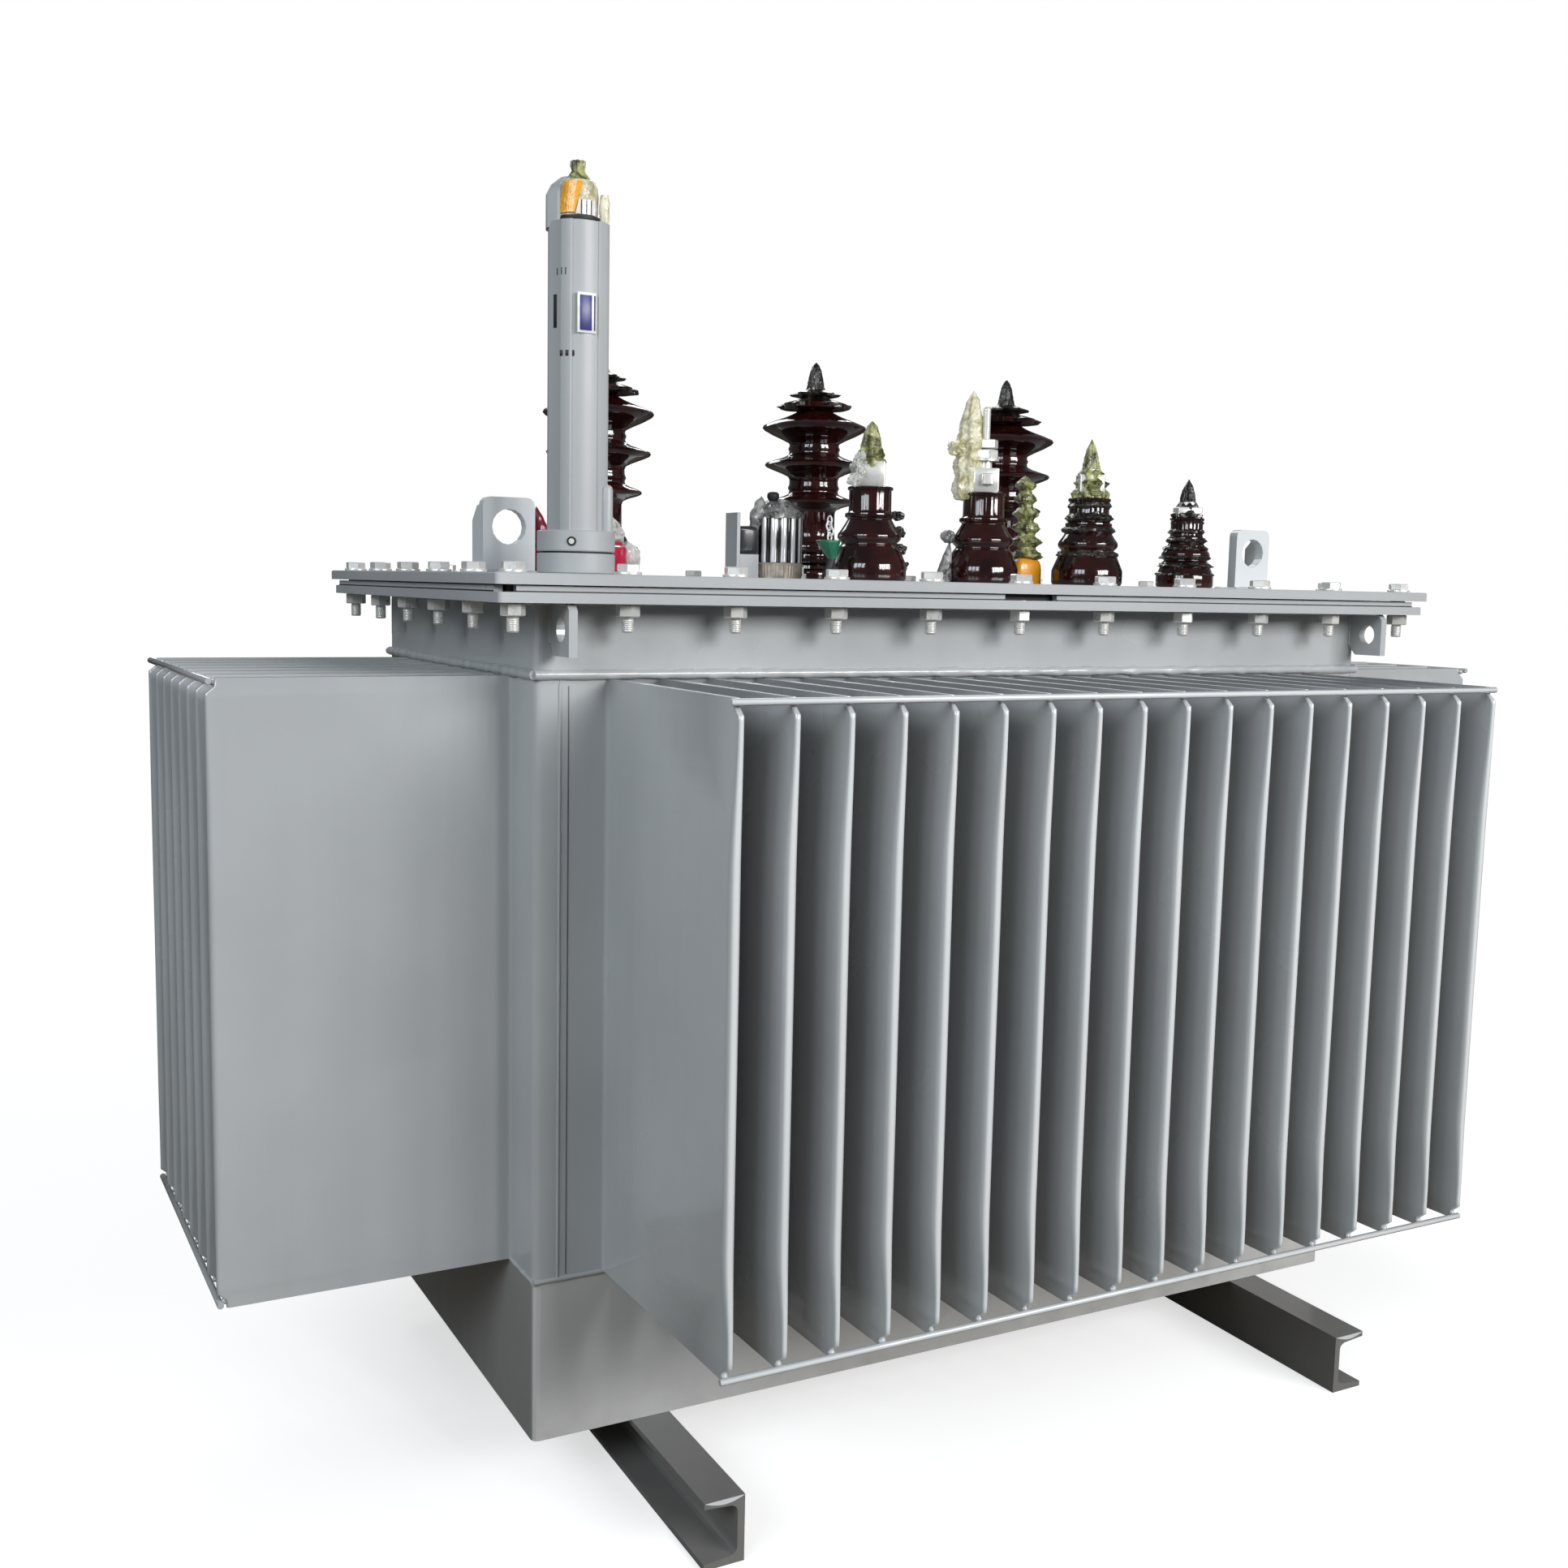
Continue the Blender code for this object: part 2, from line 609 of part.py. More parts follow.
def build_corner_plates(root):
    """Drilled plates square to the long faces, one at each corner under the flange."""
    depth = CORNER_PLATE_DEPTH
    height = CORNER_PLATE_HEIGHT - 2 * SEAT_GAP
    outline = [
        (SEAT_GAP, -height + CORNER_PLATE_NOTCH), (SEAT_GAP, 0.0), (depth - CORNER_PLATE_SNIP, 0.0),
        (depth, -CORNER_PLATE_SNIP), (depth, -height), (CORNER_PLATE_NOTCH, -height),
    ]
    hole = circle_outline(depth * CORNER_PLATE_HOLE_DEPTH_SHARE, -height * CORNER_PLATE_HOLE_DROP_SHARE,
                          CORNER_PLATE_HOLE / 2)
    left = -TANK_LENGTH / 2 + LEFT_PLATE_SETBACK + CORNER_PLATE_THICKNESS / 2
    right = TANK_LENGTH / 2 - RIGHT_PLATE_SETBACK - CORNER_PLATE_THICKNESS / 2
    corners = (
        ("front_left", left, -1), ("front_right", right, -1),
        ("rear_left", left, 1), ("rear_right", right, 1),
    )
    for name, across, sy in corners:
        mesh = plate_mesh(name + "_corner_plate", [outline, hole], CORNER_PLATE_THICKNESS)
        at = (across, sy * TANK_WIDTH / 2, FLANGE_BOTTOM - SEAT_GAP)
        place(name + "_corner_plate", mesh, enamel(), root, at=at, turn=sy * math.pi / 2)


def foot_outline():
    """Section of a rolled channel: web at x = 0, tapered flanges towards +X, filleted inside."""
    half = FOOT_HEIGHT / 2
    web = FOOT_WEB
    tip = FOOT_FLANGE
    slope = (FOOT_FLANGE_ROOT - FOOT_FLANGE_TIP) / (tip - web)
    root = half - FOOT_FLANGE_ROOT
    upper = [(tip, half), (tip, half - FOOT_FLANGE_TIP), (web + FOOT_FILLET, root + slope * FOOT_FILLET)]
    for step in range(1, CORNER_STEPS + 1):
        angle = math.pi / 2 * step / CORNER_STEPS
        across = FOOT_FILLET * (1 - math.sin(angle))
        down = FOOT_FILLET * (1 - math.cos(angle))
        upper.append((web + across, root - down))
    lower = [(x, -z) for x, z in reversed(upper)]
    return [(0.0, half)] + upper + lower + [(0.0, -half)]


def build_feet(root):
    """Two channel feet across the tank, webs towards the middle."""
    for name, side in (("left_foot", -1), ("right_foot", 1)):
        mesh = plate_mesh(name, [foot_outline()], FOOT_LENGTH)
        turn = 0.0 if side > 0 else math.pi
        place(name, mesh, enamel(), root, at=(side * FOOT_SPACING / 2, 0.0, FOOT_HEIGHT / 2), turn=turn)


def build_lifting_lugs(root):
    """Angle-shaped lugs: a drilled plate facing the front, with a return at its outer edge."""
    half = LUG_WIDTH / 2
    corner = [
        (math.sin(math.pi / 2 * step / CORNER_STEPS), math.cos(math.pi / 2 * step / CORNER_STEPS))
        for step in range(CORNER_STEPS + 1)
    ]
    top = LUG_HEIGHT - LUG_CORNER
    face = [(-half, SEAT_GAP)]
    face += [(-half + LUG_CORNER * (1 - c), top + LUG_CORNER * s) for s, c in corner]
    face += [(half - LUG_CORNER * (1 - s), top + LUG_CORNER * c) for s, c in corner]
    face.append((half, SEAT_GAP))
    hole = circle_outline(0.0, LUG_HEIGHT * LUG_HOLE_RISE_SHARE, LUG_HOLE / 2)
    deep = LUG_RETURN_DEPTH
    reach = LUG_HEIGHT - LUG_CORNER
    profile = [
        (LUG_PLATE / 4, SEAT_GAP), (deep, SEAT_GAP), (deep, reach - LUG_RETURN_SNIP_DROP),
        (deep - LUG_RETURN_SNIP_DEPTH, reach), (LUG_PLATE / 4, reach),
    ]
    lugs = (("left_lifting_lug", -1, LEFT_LUG_INSET), ("right_lifting_lug", 1, RIGHT_LUG_INSET))
    for name, side, inset in lugs:
        at = (side * (TANK_LENGTH / 2 - inset), -LUG_SETBACK, LID_TOP)
        mirrored = [[(side * x, z) for x, z in loop] for loop in (face, hole)]
        piece = place(name, plate_mesh(name, mirrored, LUG_PLATE), enamel(), root, at=at)
        rib = plate_mesh(name + "_return", [profile], LUG_RETURN_PLATE)
        offset = side * (half - LUG_RETURN_PLATE / 2)
        rib.transform(Matrix.Translation((offset, 0.0, 0.0)) @ Matrix.Rotation(math.pi / 2, 4, 'Z'))
        join_by_union(piece, rib, name + "_return", at=at)


def turned_outline(shares, radius, height):
    """Outline of a turned porcelain from shares of its radius and height, closed at foot and top."""
    outline = [(radius * r, SEAT_GAP + (height - SEAT_GAP) * z) for r, z in shares]
    return [(0.0, SEAT_GAP)] + outline + [(0.0, height)]


def terminal_profile(bottom, top):
    """Flat clamp washer, nut block and stud, turned as one piece of terminal hardware."""
    cap = bottom + TERMINAL_CAP_HEIGHT
    nut = TERMINAL_RADIUS * TERMINAL_NUT_SHARE
    return [
        (0.0, bottom), (TERMINAL_RADIUS, bottom), (TERMINAL_RADIUS, cap),
        (nut, cap), (nut, cap + TERMINAL_CAP_HEIGHT / 2), (STUD_RADIUS, cap + TERMINAL_CAP_HEIGHT / 2),
        (STUD_RADIUS, top - STUD_RADIUS / 2),
        (STUD_RADIUS / 2, top), (0.0, top),
    ]


def build_hv_bushings(root):
    profile = turned_outline(HV_PROFILE_SHARES, HV_SHED_RADIUS, HV_PORCELAIN_HEIGHT)
    for index, phase in enumerate(("left", "middle", "right")):
        at = (HV_FIRST + HV_SPACING * index, HV_ROW, LID_TOP)
        name = "hv_" + phase
        mesh = revolve(name + "_porcelain", profile, SHED_SEGMENTS)
        place(name + "_porcelain", mesh, porcelain(), root, at=at, smooth_below=ROUND_FOLD_ANGLE)
        cap = terminal_profile(HV_PORCELAIN_HEIGHT + SEAT_GAP, HV_TOTAL_HEIGHT)
        mesh = revolve(name + "_terminal", cap, SMALL_SEGMENTS)
        place(name + "_terminal", mesh, zinc(), root, at=at, smooth_below=ROUND_FOLD_ANGLE)


def lv_scale(index):
    return LV_SMALL_SHARE if index == LV_COUNT - 1 else 1.0


def build_lv_bushings(root):
    for index in range(LV_COUNT):
        share = lv_scale(index)
        radius = LV_BASE_RADIUS * share
        height = LV_HEIGHT * share
        at = (LV_FIRST + LV_SPACING * index, LV_ROW, LID_TOP)
        name = "lv_%d" % (index + 1)
        profile = turned_outline(LV_PROFILE_SHARES, radius, height)
        mesh = revolve(name + "_porcelain", profile, ROUND_SEGMENTS)
        place(name + "_porcelain", mesh, porcelain(), root, at=at, smooth_below=ROUND_FOLD_ANGLE)
        bottom = height + SEAT_GAP
        mesh = revolve(name + "_terminal", terminal_profile(bottom, bottom + LV_TERMINAL_HEIGHTS[index]),
                       SMALL_SEGMENTS)
        place(name + "_terminal", mesh, zinc(), root, at=at, smooth_below=ROUND_FOLD_ANGLE)


def build_gauge(root):
    """Tall oil gauge: split base ring, tube with a rib and a side hump, hooded cap with a tied tip."""
    at = (GAUGE_X, GAUGE_Y, LID_TOP)
    low = revolve("gauge_base", [
        (0.0, SEAT_GAP), (GAUGE_RING_RADIUS, SEAT_GAP), (GAUGE_RING_RADIUS, GAUGE_RING_HEIGHT),
        (0.0, GAUGE_RING_HEIGHT),
    ], ROUND_SEGMENTS)
    place("gauge_base", low, enamel(), root, at=at, smooth_below=FLAT_FOLD_ANGLE)
    start = GAUGE_RING_HEIGHT + SEAT_GAP
    tube = revolve("gauge_tube", [
        (0.0, start), (GAUGE_NECK_RADIUS, start), (GAUGE_NECK_RADIUS, GAUGE_RING_HEIGHT + GAUGE_RING_SPLIT),
        (GAUGE_RING_RADIUS, GAUGE_RING_HEIGHT + GAUGE_RING_SPLIT), (GAUGE_RING_RADIUS, GAUGE_RING_TOP),
        (GAUGE_TUBE_RADIUS, GAUGE_RING_TOP), (GAUGE_TUBE_RADIUS, GAUGE_TUBE_TOP), (0.0, GAUGE_TUBE_TOP),
    ], ROUND_SEGMENTS)
    piece = place("gauge_tube", tube, enamel(), root, at=at, smooth_below=FLAT_FOLD_ANGLE)
    uprights = (
        ("gauge_hump", GAUGE_HUMP_WIDTH, GAUGE_HUMP_PROUD, GAUGE_HUMP_TURN),
        ("gauge_rib", GAUGE_RIB_WIDTH, GAUGE_RIB_PROUD, GAUGE_RIB_TURN),
    )
    for name, width, proud, turn in uprights:
        bar = bmesh.new()
        box_into(bar, (GAUGE_TUBE_RADIUS / 2, -width / 2, GAUGE_RING_TOP - GAUGE_HUMP_PROUD),
                 (GAUGE_TUBE_RADIUS + proud, width / 2, GAUGE_TUBE_TOP - GAUGE_CAP_SKIRT))
        join_by_union(piece, as_mesh(name, bar), name, at=at, turn=turn)
    top = GAUGE_TUBE_TOP + SEAT_GAP
    cap = revolve("gauge_cap", [
        (0.0, top), (GAUGE_CAP_RADIUS, top), (GAUGE_CAP_RADIUS, top + GAUGE_CAP_SKIRT),
        (GAUGE_CAP_RADIUS * GAUGE_SHOULDER_SHARE, top + GAUGE_CAP_HEIGHT * GAUGE_SHOULDER_RISE_SHARE),
        (GAUGE_CAP_RADIUS * GAUGE_CROWN_SHARE, top + GAUGE_CAP_HEIGHT),
        (GAUGE_CAP_RADIUS * GAUGE_KNOT_SHARE, GAUGE_KNOT_TIP - GAUGE_CAP_SKIRT),
        (GAUGE_CAP_RADIUS * GAUGE_TIP_SHARE, GAUGE_KNOT_TIP),
        (0.0, GAUGE_KNOT_TIP),
    ], ROUND_SEGMENTS)
    place("gauge_cap", cap, enamel(), root, at=at, smooth_below=FLAT_FOLD_ANGLE)


def build_relay(root):
    """Round red protective relay behind the gauge."""
    red = finish_material("red_paint", (0.42, 0.02, 0.05), 0.35)
    mesh = revolve("protection_relay", [
        (0.0, SEAT_GAP), (RELAY_RADIUS, SEAT_GAP), (RELAY_RADIUS, RELAY_HEIGHT - RELAY_DOME),
        (RELAY_RADIUS * RELAY_SHOULDER_SHARE, RELAY_HEIGHT - RELAY_DOME / 3),
        (RELAY_RADIUS * RELAY_CROWN_SHARE, RELAY_HEIGHT), (0.0, RELAY_HEIGHT),
    ], ROUND_SEGMENTS)
    place("protection_relay", mesh, red, root, at=(RELAY_X, RELAY_Y, LID_TOP), smooth_below=FLAT_FOLD_ANGLE)


def flute_outline(radius):
    """Round outline with shallow flutes."""
    points = []
    for flute in range(TAP_FLUTES):
        for part, share in ((0.0, 1.0), (0.5, 1.0), (0.75, 1.0 - TAP_FLUTE_DEPTH_SHARE)):
            angle = 2.0 * math.pi * (flute + part) / TAP_FLUTES
            points.append((radius * share * math.cos(angle), radius * share * math.sin(angle)))
    return points


def build_tap_changer(root):
    """Fluted bright cover of the tap changer on its knurled brass base."""
    at = (TAP_X, TAP_Y, LID_TOP)
    brass = finish_material("aged_brass", (0.42, 0.33, 0.22), 0.4, 1.0)
    chrome = finish_material("bright_chrome", (0.8, 0.8, 0.8), 0.08, 1.0)
    foot = TAP_BASE_RADIUS * TAP_FOOT_SHARE
    low, high = (TAP_BASE_HEIGHT * share for share in TAP_KNURL_SHARES)
    base = revolve("tap_changer_base", [
        (0.0, SEAT_GAP), (foot, SEAT_GAP), (TAP_BASE_RADIUS, low), (TAP_BASE_RADIUS, high),
        (foot, TAP_BASE_HEIGHT), (0.0, TAP_BASE_HEIGHT),
    ], ROUND_SEGMENTS)
    place("tap_changer_base", base, brass, root, at=at, smooth_below=FLAT_FOLD_ANGLE)
    full = flute_outline(TAP_RADIUS)
    small = flute_outline(TAP_RADIUS * TAP_CROWN_SHARE)
    start = TAP_BASE_HEIGHT + SEAT_GAP
    cover = loft("tap_changer_cover", [
        at_height(full, start), at_height(full, TAP_HEIGHT - TAP_RADIUS * TAP_CROWN_DROP_SHARE),
        at_height(small, TAP_HEIGHT),
    ])
    place("tap_changer_cover", cover, chrome, root, at=at, smooth_below=FLAT_FOLD_ANGLE)


def build_relief_valve(root):
    """Dark relief valve housing on an angle bracket."""
    dark = finish_material("dark_plastic", (0.05, 0.055, 0.06), 0.4)
    outline = rounded_box_outline(RELIEF_WIDTH, RELIEF_DEPTH, RELIEF_CORNER)
    bottom = RELIEF_RAISE + SEAT_GAP
    mesh = loft("relief_valve", [
        at_height(outline, bottom), at_height(outline, bottom + RELIEF_HEIGHT),
    ])
    place("relief_valve", mesh, dark, root, at=(RELIEF_X, RELIEF_Y, LID_TOP), smooth_below=FLAT_FOLD_ANGLE)
    left = -RELIEF_WIDTH / 2 - SEAT_GAP
    outline = [
        (left - BRACKET_PLATE, SEAT_GAP), (RELIEF_WIDTH / 2, SEAT_GAP), (RELIEF_WIDTH / 2, RELIEF_RAISE),
        (left, RELIEF_RAISE), (left, BRACKET_HEIGHT), (left - BRACKET_PLATE, BRACKET_HEIGHT),
    ]
    mesh = plate_mesh("relief_valve_bracket", [outline], RELIEF_DEPTH)
    place("relief_valve_bracket", mesh, enamel(), root, at=(RELIEF_X, RELIEF_Y, LID_TOP))


def build_filler(root):
    """Oil filler: dark stem with a green funnel cap."""
    at = (FILLER_X, FILLER_Y, LID_TOP)
    green = finish_material("green_plastic", (0.03, 0.25, 0.12), 0.35)
    stem = revolve("filler_stem", [
        (0.0, SEAT_GAP), (FILLER_STEM_RADIUS, SEAT_GAP), (FILLER_STEM_RADIUS, FILLER_STEM_HEIGHT),
        (0.0, FILLER_STEM_HEIGHT),
    ], SMALL_SEGMENTS)
    place("filler_stem", stem, black_rubber(), root, at=at, smooth_below=FLAT_FOLD_ANGLE)
    start = FILLER_STEM_HEIGHT + SEAT_GAP
    cap = revolve("filler_cap", [
        (0.0, start), (FILLER_STEM_RADIUS, start), (FILLER_CAP_RADIUS, FILLER_CAP_TOP - FILLER_STEM_RADIUS),
        (FILLER_CAP_RADIUS * FILLER_CROWN_SHARE, FILLER_CAP_TOP), (0.0, FILLER_CAP_TOP),
    ], SMALL_SEGMENTS)
    place("filler_cap", cap, green, root, at=at, smooth_below=FLAT_FOLD_ANGLE)


def build_contact_block(root):
    orange = finish_material("orange_plastic", (0.75, 0.30, 0.02), 0.4)
    outline = rounded_box_outline(CONTACT_BLOCK_WIDTH, CONTACT_BLOCK_DEPTH, CONTACT_BLOCK_DEPTH / 5)
    mesh = loft("contact_block", [
        at_height(outline, SEAT_GAP), at_height(outline, CONTACT_BLOCK_HEIGHT),
    ])
    place("contact_block", mesh, orange, root, at=(CONTACT_BLOCK_X, CONTACT_BLOCK_Y, LID_TOP),
          smooth_below=FLAT_FOLD_ANGLE)


def main():
    clear_scene()
    root = bpy.data.objects.new("power_transformer", None)
    bpy.context.scene.collection.objects.link(root)
    build_base(root)
    build_fin_walls(root)
    build_collar(root)
    build_rim(root)
    build_corner_plates(root)
    build_feet(root)
    build_lifting_lugs(root)
    build_hv_bushings(root)
    build_lv_bushings(root)
    build_gauge(root)
    build_relay(root)
    build_tap_changer(root)
    build_relief_valve(root)
    build_filler(root)
    build_contact_block(root)


main()
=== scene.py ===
"""Visible pieces and finishes of an oil-immersed power transformer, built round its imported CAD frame.

Metres, +Z up. The long front face looks along -Y and the lid carries every fitting.
"""
import math

import bmesh
import bpy
from mathutils import Matrix, Vector, noise


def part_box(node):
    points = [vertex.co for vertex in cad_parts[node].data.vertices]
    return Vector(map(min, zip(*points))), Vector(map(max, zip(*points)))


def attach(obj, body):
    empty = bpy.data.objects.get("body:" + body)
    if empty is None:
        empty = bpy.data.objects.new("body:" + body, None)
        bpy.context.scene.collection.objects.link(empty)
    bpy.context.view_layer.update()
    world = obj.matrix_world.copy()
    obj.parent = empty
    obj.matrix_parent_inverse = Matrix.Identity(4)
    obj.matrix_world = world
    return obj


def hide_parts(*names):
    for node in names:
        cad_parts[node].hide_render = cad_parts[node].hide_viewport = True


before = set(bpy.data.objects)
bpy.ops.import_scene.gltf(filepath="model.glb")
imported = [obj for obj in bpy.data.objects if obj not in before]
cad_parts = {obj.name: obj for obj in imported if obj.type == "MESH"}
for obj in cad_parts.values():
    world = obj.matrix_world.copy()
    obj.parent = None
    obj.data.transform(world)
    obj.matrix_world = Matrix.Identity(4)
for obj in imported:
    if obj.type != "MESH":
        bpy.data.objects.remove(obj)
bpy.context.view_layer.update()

bl_info = {
    "name": "Power Transformer Dressing",
    "version": (1, 0, 0),
    "blender": (4, 5, 0),
    "location": "View3D > Sidebar > Transformer",
    "description": "Builds the visible pieces, finishes, camera and light of a power transformer",
    "category": "Add Mesh",
}

ROOT = "root"
LID_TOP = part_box("lid")[1][2]
FLANGE_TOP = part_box("lid_gasket")[0][2]
FLANGE_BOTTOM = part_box("rim_flange")[0][2]
WALL_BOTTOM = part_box("front_fin_wall")[0][2]
WALL_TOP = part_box("front_fin_wall")[1][2]
TANK_HALF_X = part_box("tank_base")[1][0]
TANK_HALF_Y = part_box("tank_base")[1][1]
TURN = 2.0 * math.pi
ORIGIN = (0.0, 0.0, 0.0)

CORNERS = ("front_left", "front_right", "rear_left", "rear_right")
CORNER_PLATES = tuple(corner + "_corner_plate" for corner in CORNERS)
LUGS = ("left_lifting_lug", "right_lifting_lug")
FEET = ("left_foot", "right_foot")

# Where painted shade and painted highlights go on the enamel: distances from the middle of the tank, from
# nothing to the full change
ROOT_SHADE_FADES_Y = (TANK_HALF_Y + 0.175, TANK_HALF_Y + 0.245)
ROOT_SHADE_STOPS_X = (TANK_HALF_X - 0.0745, TANK_HALF_X - 0.0715)
NOSE_PAINTED_HIGHLIGHT_Y = (TANK_HALF_Y + 0.2556, TANK_HALF_Y + 0.2568)
BASE_END_SHADE_X = (TANK_HALF_X - 0.0012, TANK_HALF_X - 0.0004)


class TransformerSizes(bpy.types.PropertyGroup):
    """Sizes of the small pieces that the CAD frame leaves out."""
    bolts_along: bpy.props.IntProperty(
        name="Bolts along", description="Rim bolts on each long side, corners counted", default=11, min=2)
    bolts_across: bpy.props.IntProperty(
        name="Bolts across", description="Rim bolts on each short side, corners counted", default=6, min=2)
    bolt_line: bpy.props.FloatProperty(
        name="Bolt line", description="Distance of the bolt line outside the tank wall", default=0.031,
        unit='LENGTH')
    bolt_flats: bpy.props.FloatProperty(
        name="Bolt flats", description="Width of the hexagons across flats", default=0.019, unit='LENGTH')
    thread_end: bpy.props.FloatProperty(
        name="Thread end", description="Length of thread below each nut", default=0.0140, unit='LENGTH')
    fin_pitch: bpy.props.FloatProperty(
        name="Fin pitch", description="Distance between neighbouring fins", default=0.050, unit='LENGTH')
    fin_thickness: bpy.props.FloatProperty(
        name="Fin thickness", description="Width of a folded fin", default=0.011, unit='LENGTH')
    fin_pinched: bpy.props.FloatProperty(
        name="Fin end thickness", description="Width of a fin where it is pinched shut", default=0.0058,
        unit='LENGTH')
    rod_radius: bpy.props.FloatProperty(
        name="Rod radius", description="Radius of the rods across the fin corners", default=0.0029,
        unit='LENGTH')
    weld_radius: bpy.props.FloatProperty(
        name="Weld radius", description="Radius of the weld beads", default=0.0032, unit='LENGTH')
    film_depth: bpy.props.FloatProperty(
        name="Film crumple",
        description="Depth of the creases in the protective films, as a share of their radius",
        default=0.22, min=0.0, max=0.5, subtype='FACTOR')


class TransformerColours(bpy.types.PropertyGroup):
    """Colours of the finishes."""
    enamel: bpy.props.FloatVectorProperty(
        name="Enamel", description="Light grey tank enamel", subtype='COLOR', size=3,
        default=(0.43, 0.445, 0.455))
    porcelain: bpy.props.FloatVectorProperty(
        name="Porcelain", description="Dark maroon glaze", subtype='COLOR', size=3,
        default=(0.0125, 0.0022, 0.0020))
    zinc: bpy.props.FloatVectorProperty(
        name="Zinc", description="Bright zinc plate", subtype='COLOR', size=3, default=(0.86, 0.86, 0.85))
    film_pale: bpy.props.FloatVectorProperty(
        name="Film, thin", description="Protective film where it is one layer thick", subtype='COLOR',
        size=3,
        default=(0.44, 0.45, 0.19))
    film_olive: bpy.props.FloatVectorProperty(
        name="Film, gathered", description="Protective film where it is bunched", subtype='COLOR', size=3,
        default=(0.045, 0.048, 0.010))
    red: bpy.props.FloatVectorProperty(
        name="Relay red", description="Red paint of the protective relay", subtype='COLOR', size=3,
        default=(0.48, 0.008, 0.045))
    orange: bpy.props.FloatVectorProperty(
        name="Block orange", description="Orange contact block", subtype='COLOR', size=3,
        default=(0.86, 0.36, 0.02))
    green: bpy.props.FloatVectorProperty(
        name="Cap green", description="Green filler cap", subtype='COLOR', size=3,
        default=(0.012, 0.16, 0.085))
    floor: bpy.props.FloatVectorProperty(
        name="Floor", description="Pale studio floor", subtype='COLOR', size=3, default=(0.60, 0.60, 0.60))


def sizes():
    return bpy.context.scene.transformer_sizes


def colours():
    return bpy.context.scene.transformer_colours


# Finishes

class Wire:
    """One shader value; arithmetic on it adds Math nodes."""

    def __init__(self, finish, socket):
        self.finish = finish
        self.socket = socket

    def math(self, operation, *others, clamp=False):
        settings = {"operation": operation, "use_clamp": clamp}
        return self.finish.node("ShaderNodeMath", settings, dict(enumerate((self, *others))))

    def __add__(self, other):
        return self.math('ADD', other)

    def __radd__(self, other):
        return self.math('ADD', other)

    def __sub__(self, other):
        return self.math('SUBTRACT', other)

    def __rsub__(self, other):
        return self.finish.node("ShaderNodeMath", {"operation": 'SUBTRACT'}, {0: other, 1: self})

    def __mul__(self, other):
        return self.math('MULTIPLY', other)

    def __rmul__(self, other):
        return self.math('MULTIPLY', other)

    def between(self, low, high):
        """Nought at low, one at high, straight in between and held outside."""
        return self.finish.node("ShaderNodeMapRange", {"clamp": True}, {
            "Value": self, "From Min": low, "From Max": high})


class Finish:
    """A procedural material: one Principled shader and the nodes that feed it."""

    def __init__(self, name, colour, roughness, metallic=0.0, coat=0.0, coat_roughness=0.05, ior=1.5):
        self.material = bpy.data.materials.new(name)
        self.material.use_nodes = True
        self.tree = self.material.node_tree
        self.shader = self.tree.nodes["Principled BSDF"]
        self.colour = tuple(colour)
        self.material.diffuse_color = (*self.colour, 1.0)
        constants = {"Base Color": (*self.colour, 1.0), "Roughness": roughness, "Metallic": metallic,
                     "Coat Weight": coat, "Coat Roughness": coat_roughness, "IOR": ior}
        for socket, value in constants.items():
            self.shader.inputs[socket].default_value = value
        self.place = self.node("ShaderNodeTexCoord", output="Object")

    def node(self, kind, settings=None, inputs=None, output=0):
        made = self.tree.nodes.new(kind)
        for key, value in (settings or {}).items():
            setattr(made, key, value)
        for key, value in (inputs or {}).items():
            if isinstance(value, Wire):
                self.tree.links.new(value.socket, made.inputs[key])
            else:
                made.inputs[key].default_value = value
        return Wire(self, made.outputs[output])

    def feed(self, socket, wire):
        self.tree.links.new(wire.socket, self.shader.inputs[socket])

    def noise(self, scale, detail=2.0, roughness=0.5, distortion=0.0, place=None):
        return self.node("ShaderNodeTexNoise", {}, {
            "Vector": place or self.place, "Scale": scale, "Detail": detail, "Roughness": roughness,
            "Distortion": distortion}, output="Fac")

    def stretched(self, x, y, z):
        return self.node("ShaderNodeMapping", {}, {"Vector": self.place, "Scale": (x, y, z)})

    def coordinate(self, axis):
        return self.node("ShaderNodeSeparateXYZ", {}, {"Vector": self.place}, output=axis)

    def outward(self, axis, reach):
        """Nought up to the first of two distances from the middle plane, one from the second."""
        return self.coordinate(axis).math('ABSOLUTE').between(*reach)

    def blend(self, factor, first, second):
        def rgba(value):
            return value if isinstance(value, Wire) else (*value, 1.0)
        return self.node("ShaderNodeMix", {"data_type": 'RGBA'}, {
            0: factor, 6: rgba(first), 7: rgba(second)}, output=2)

    def shade(self, share):
        return tuple(min(1.0, part * share) for part in self.colour)

    def bump(self, height, distance, strength=1.0):
        self.feed("Normal", self.node("ShaderNodeBump", {}, {
            "Height": height, "Distance": distance, "Strength": strength}))


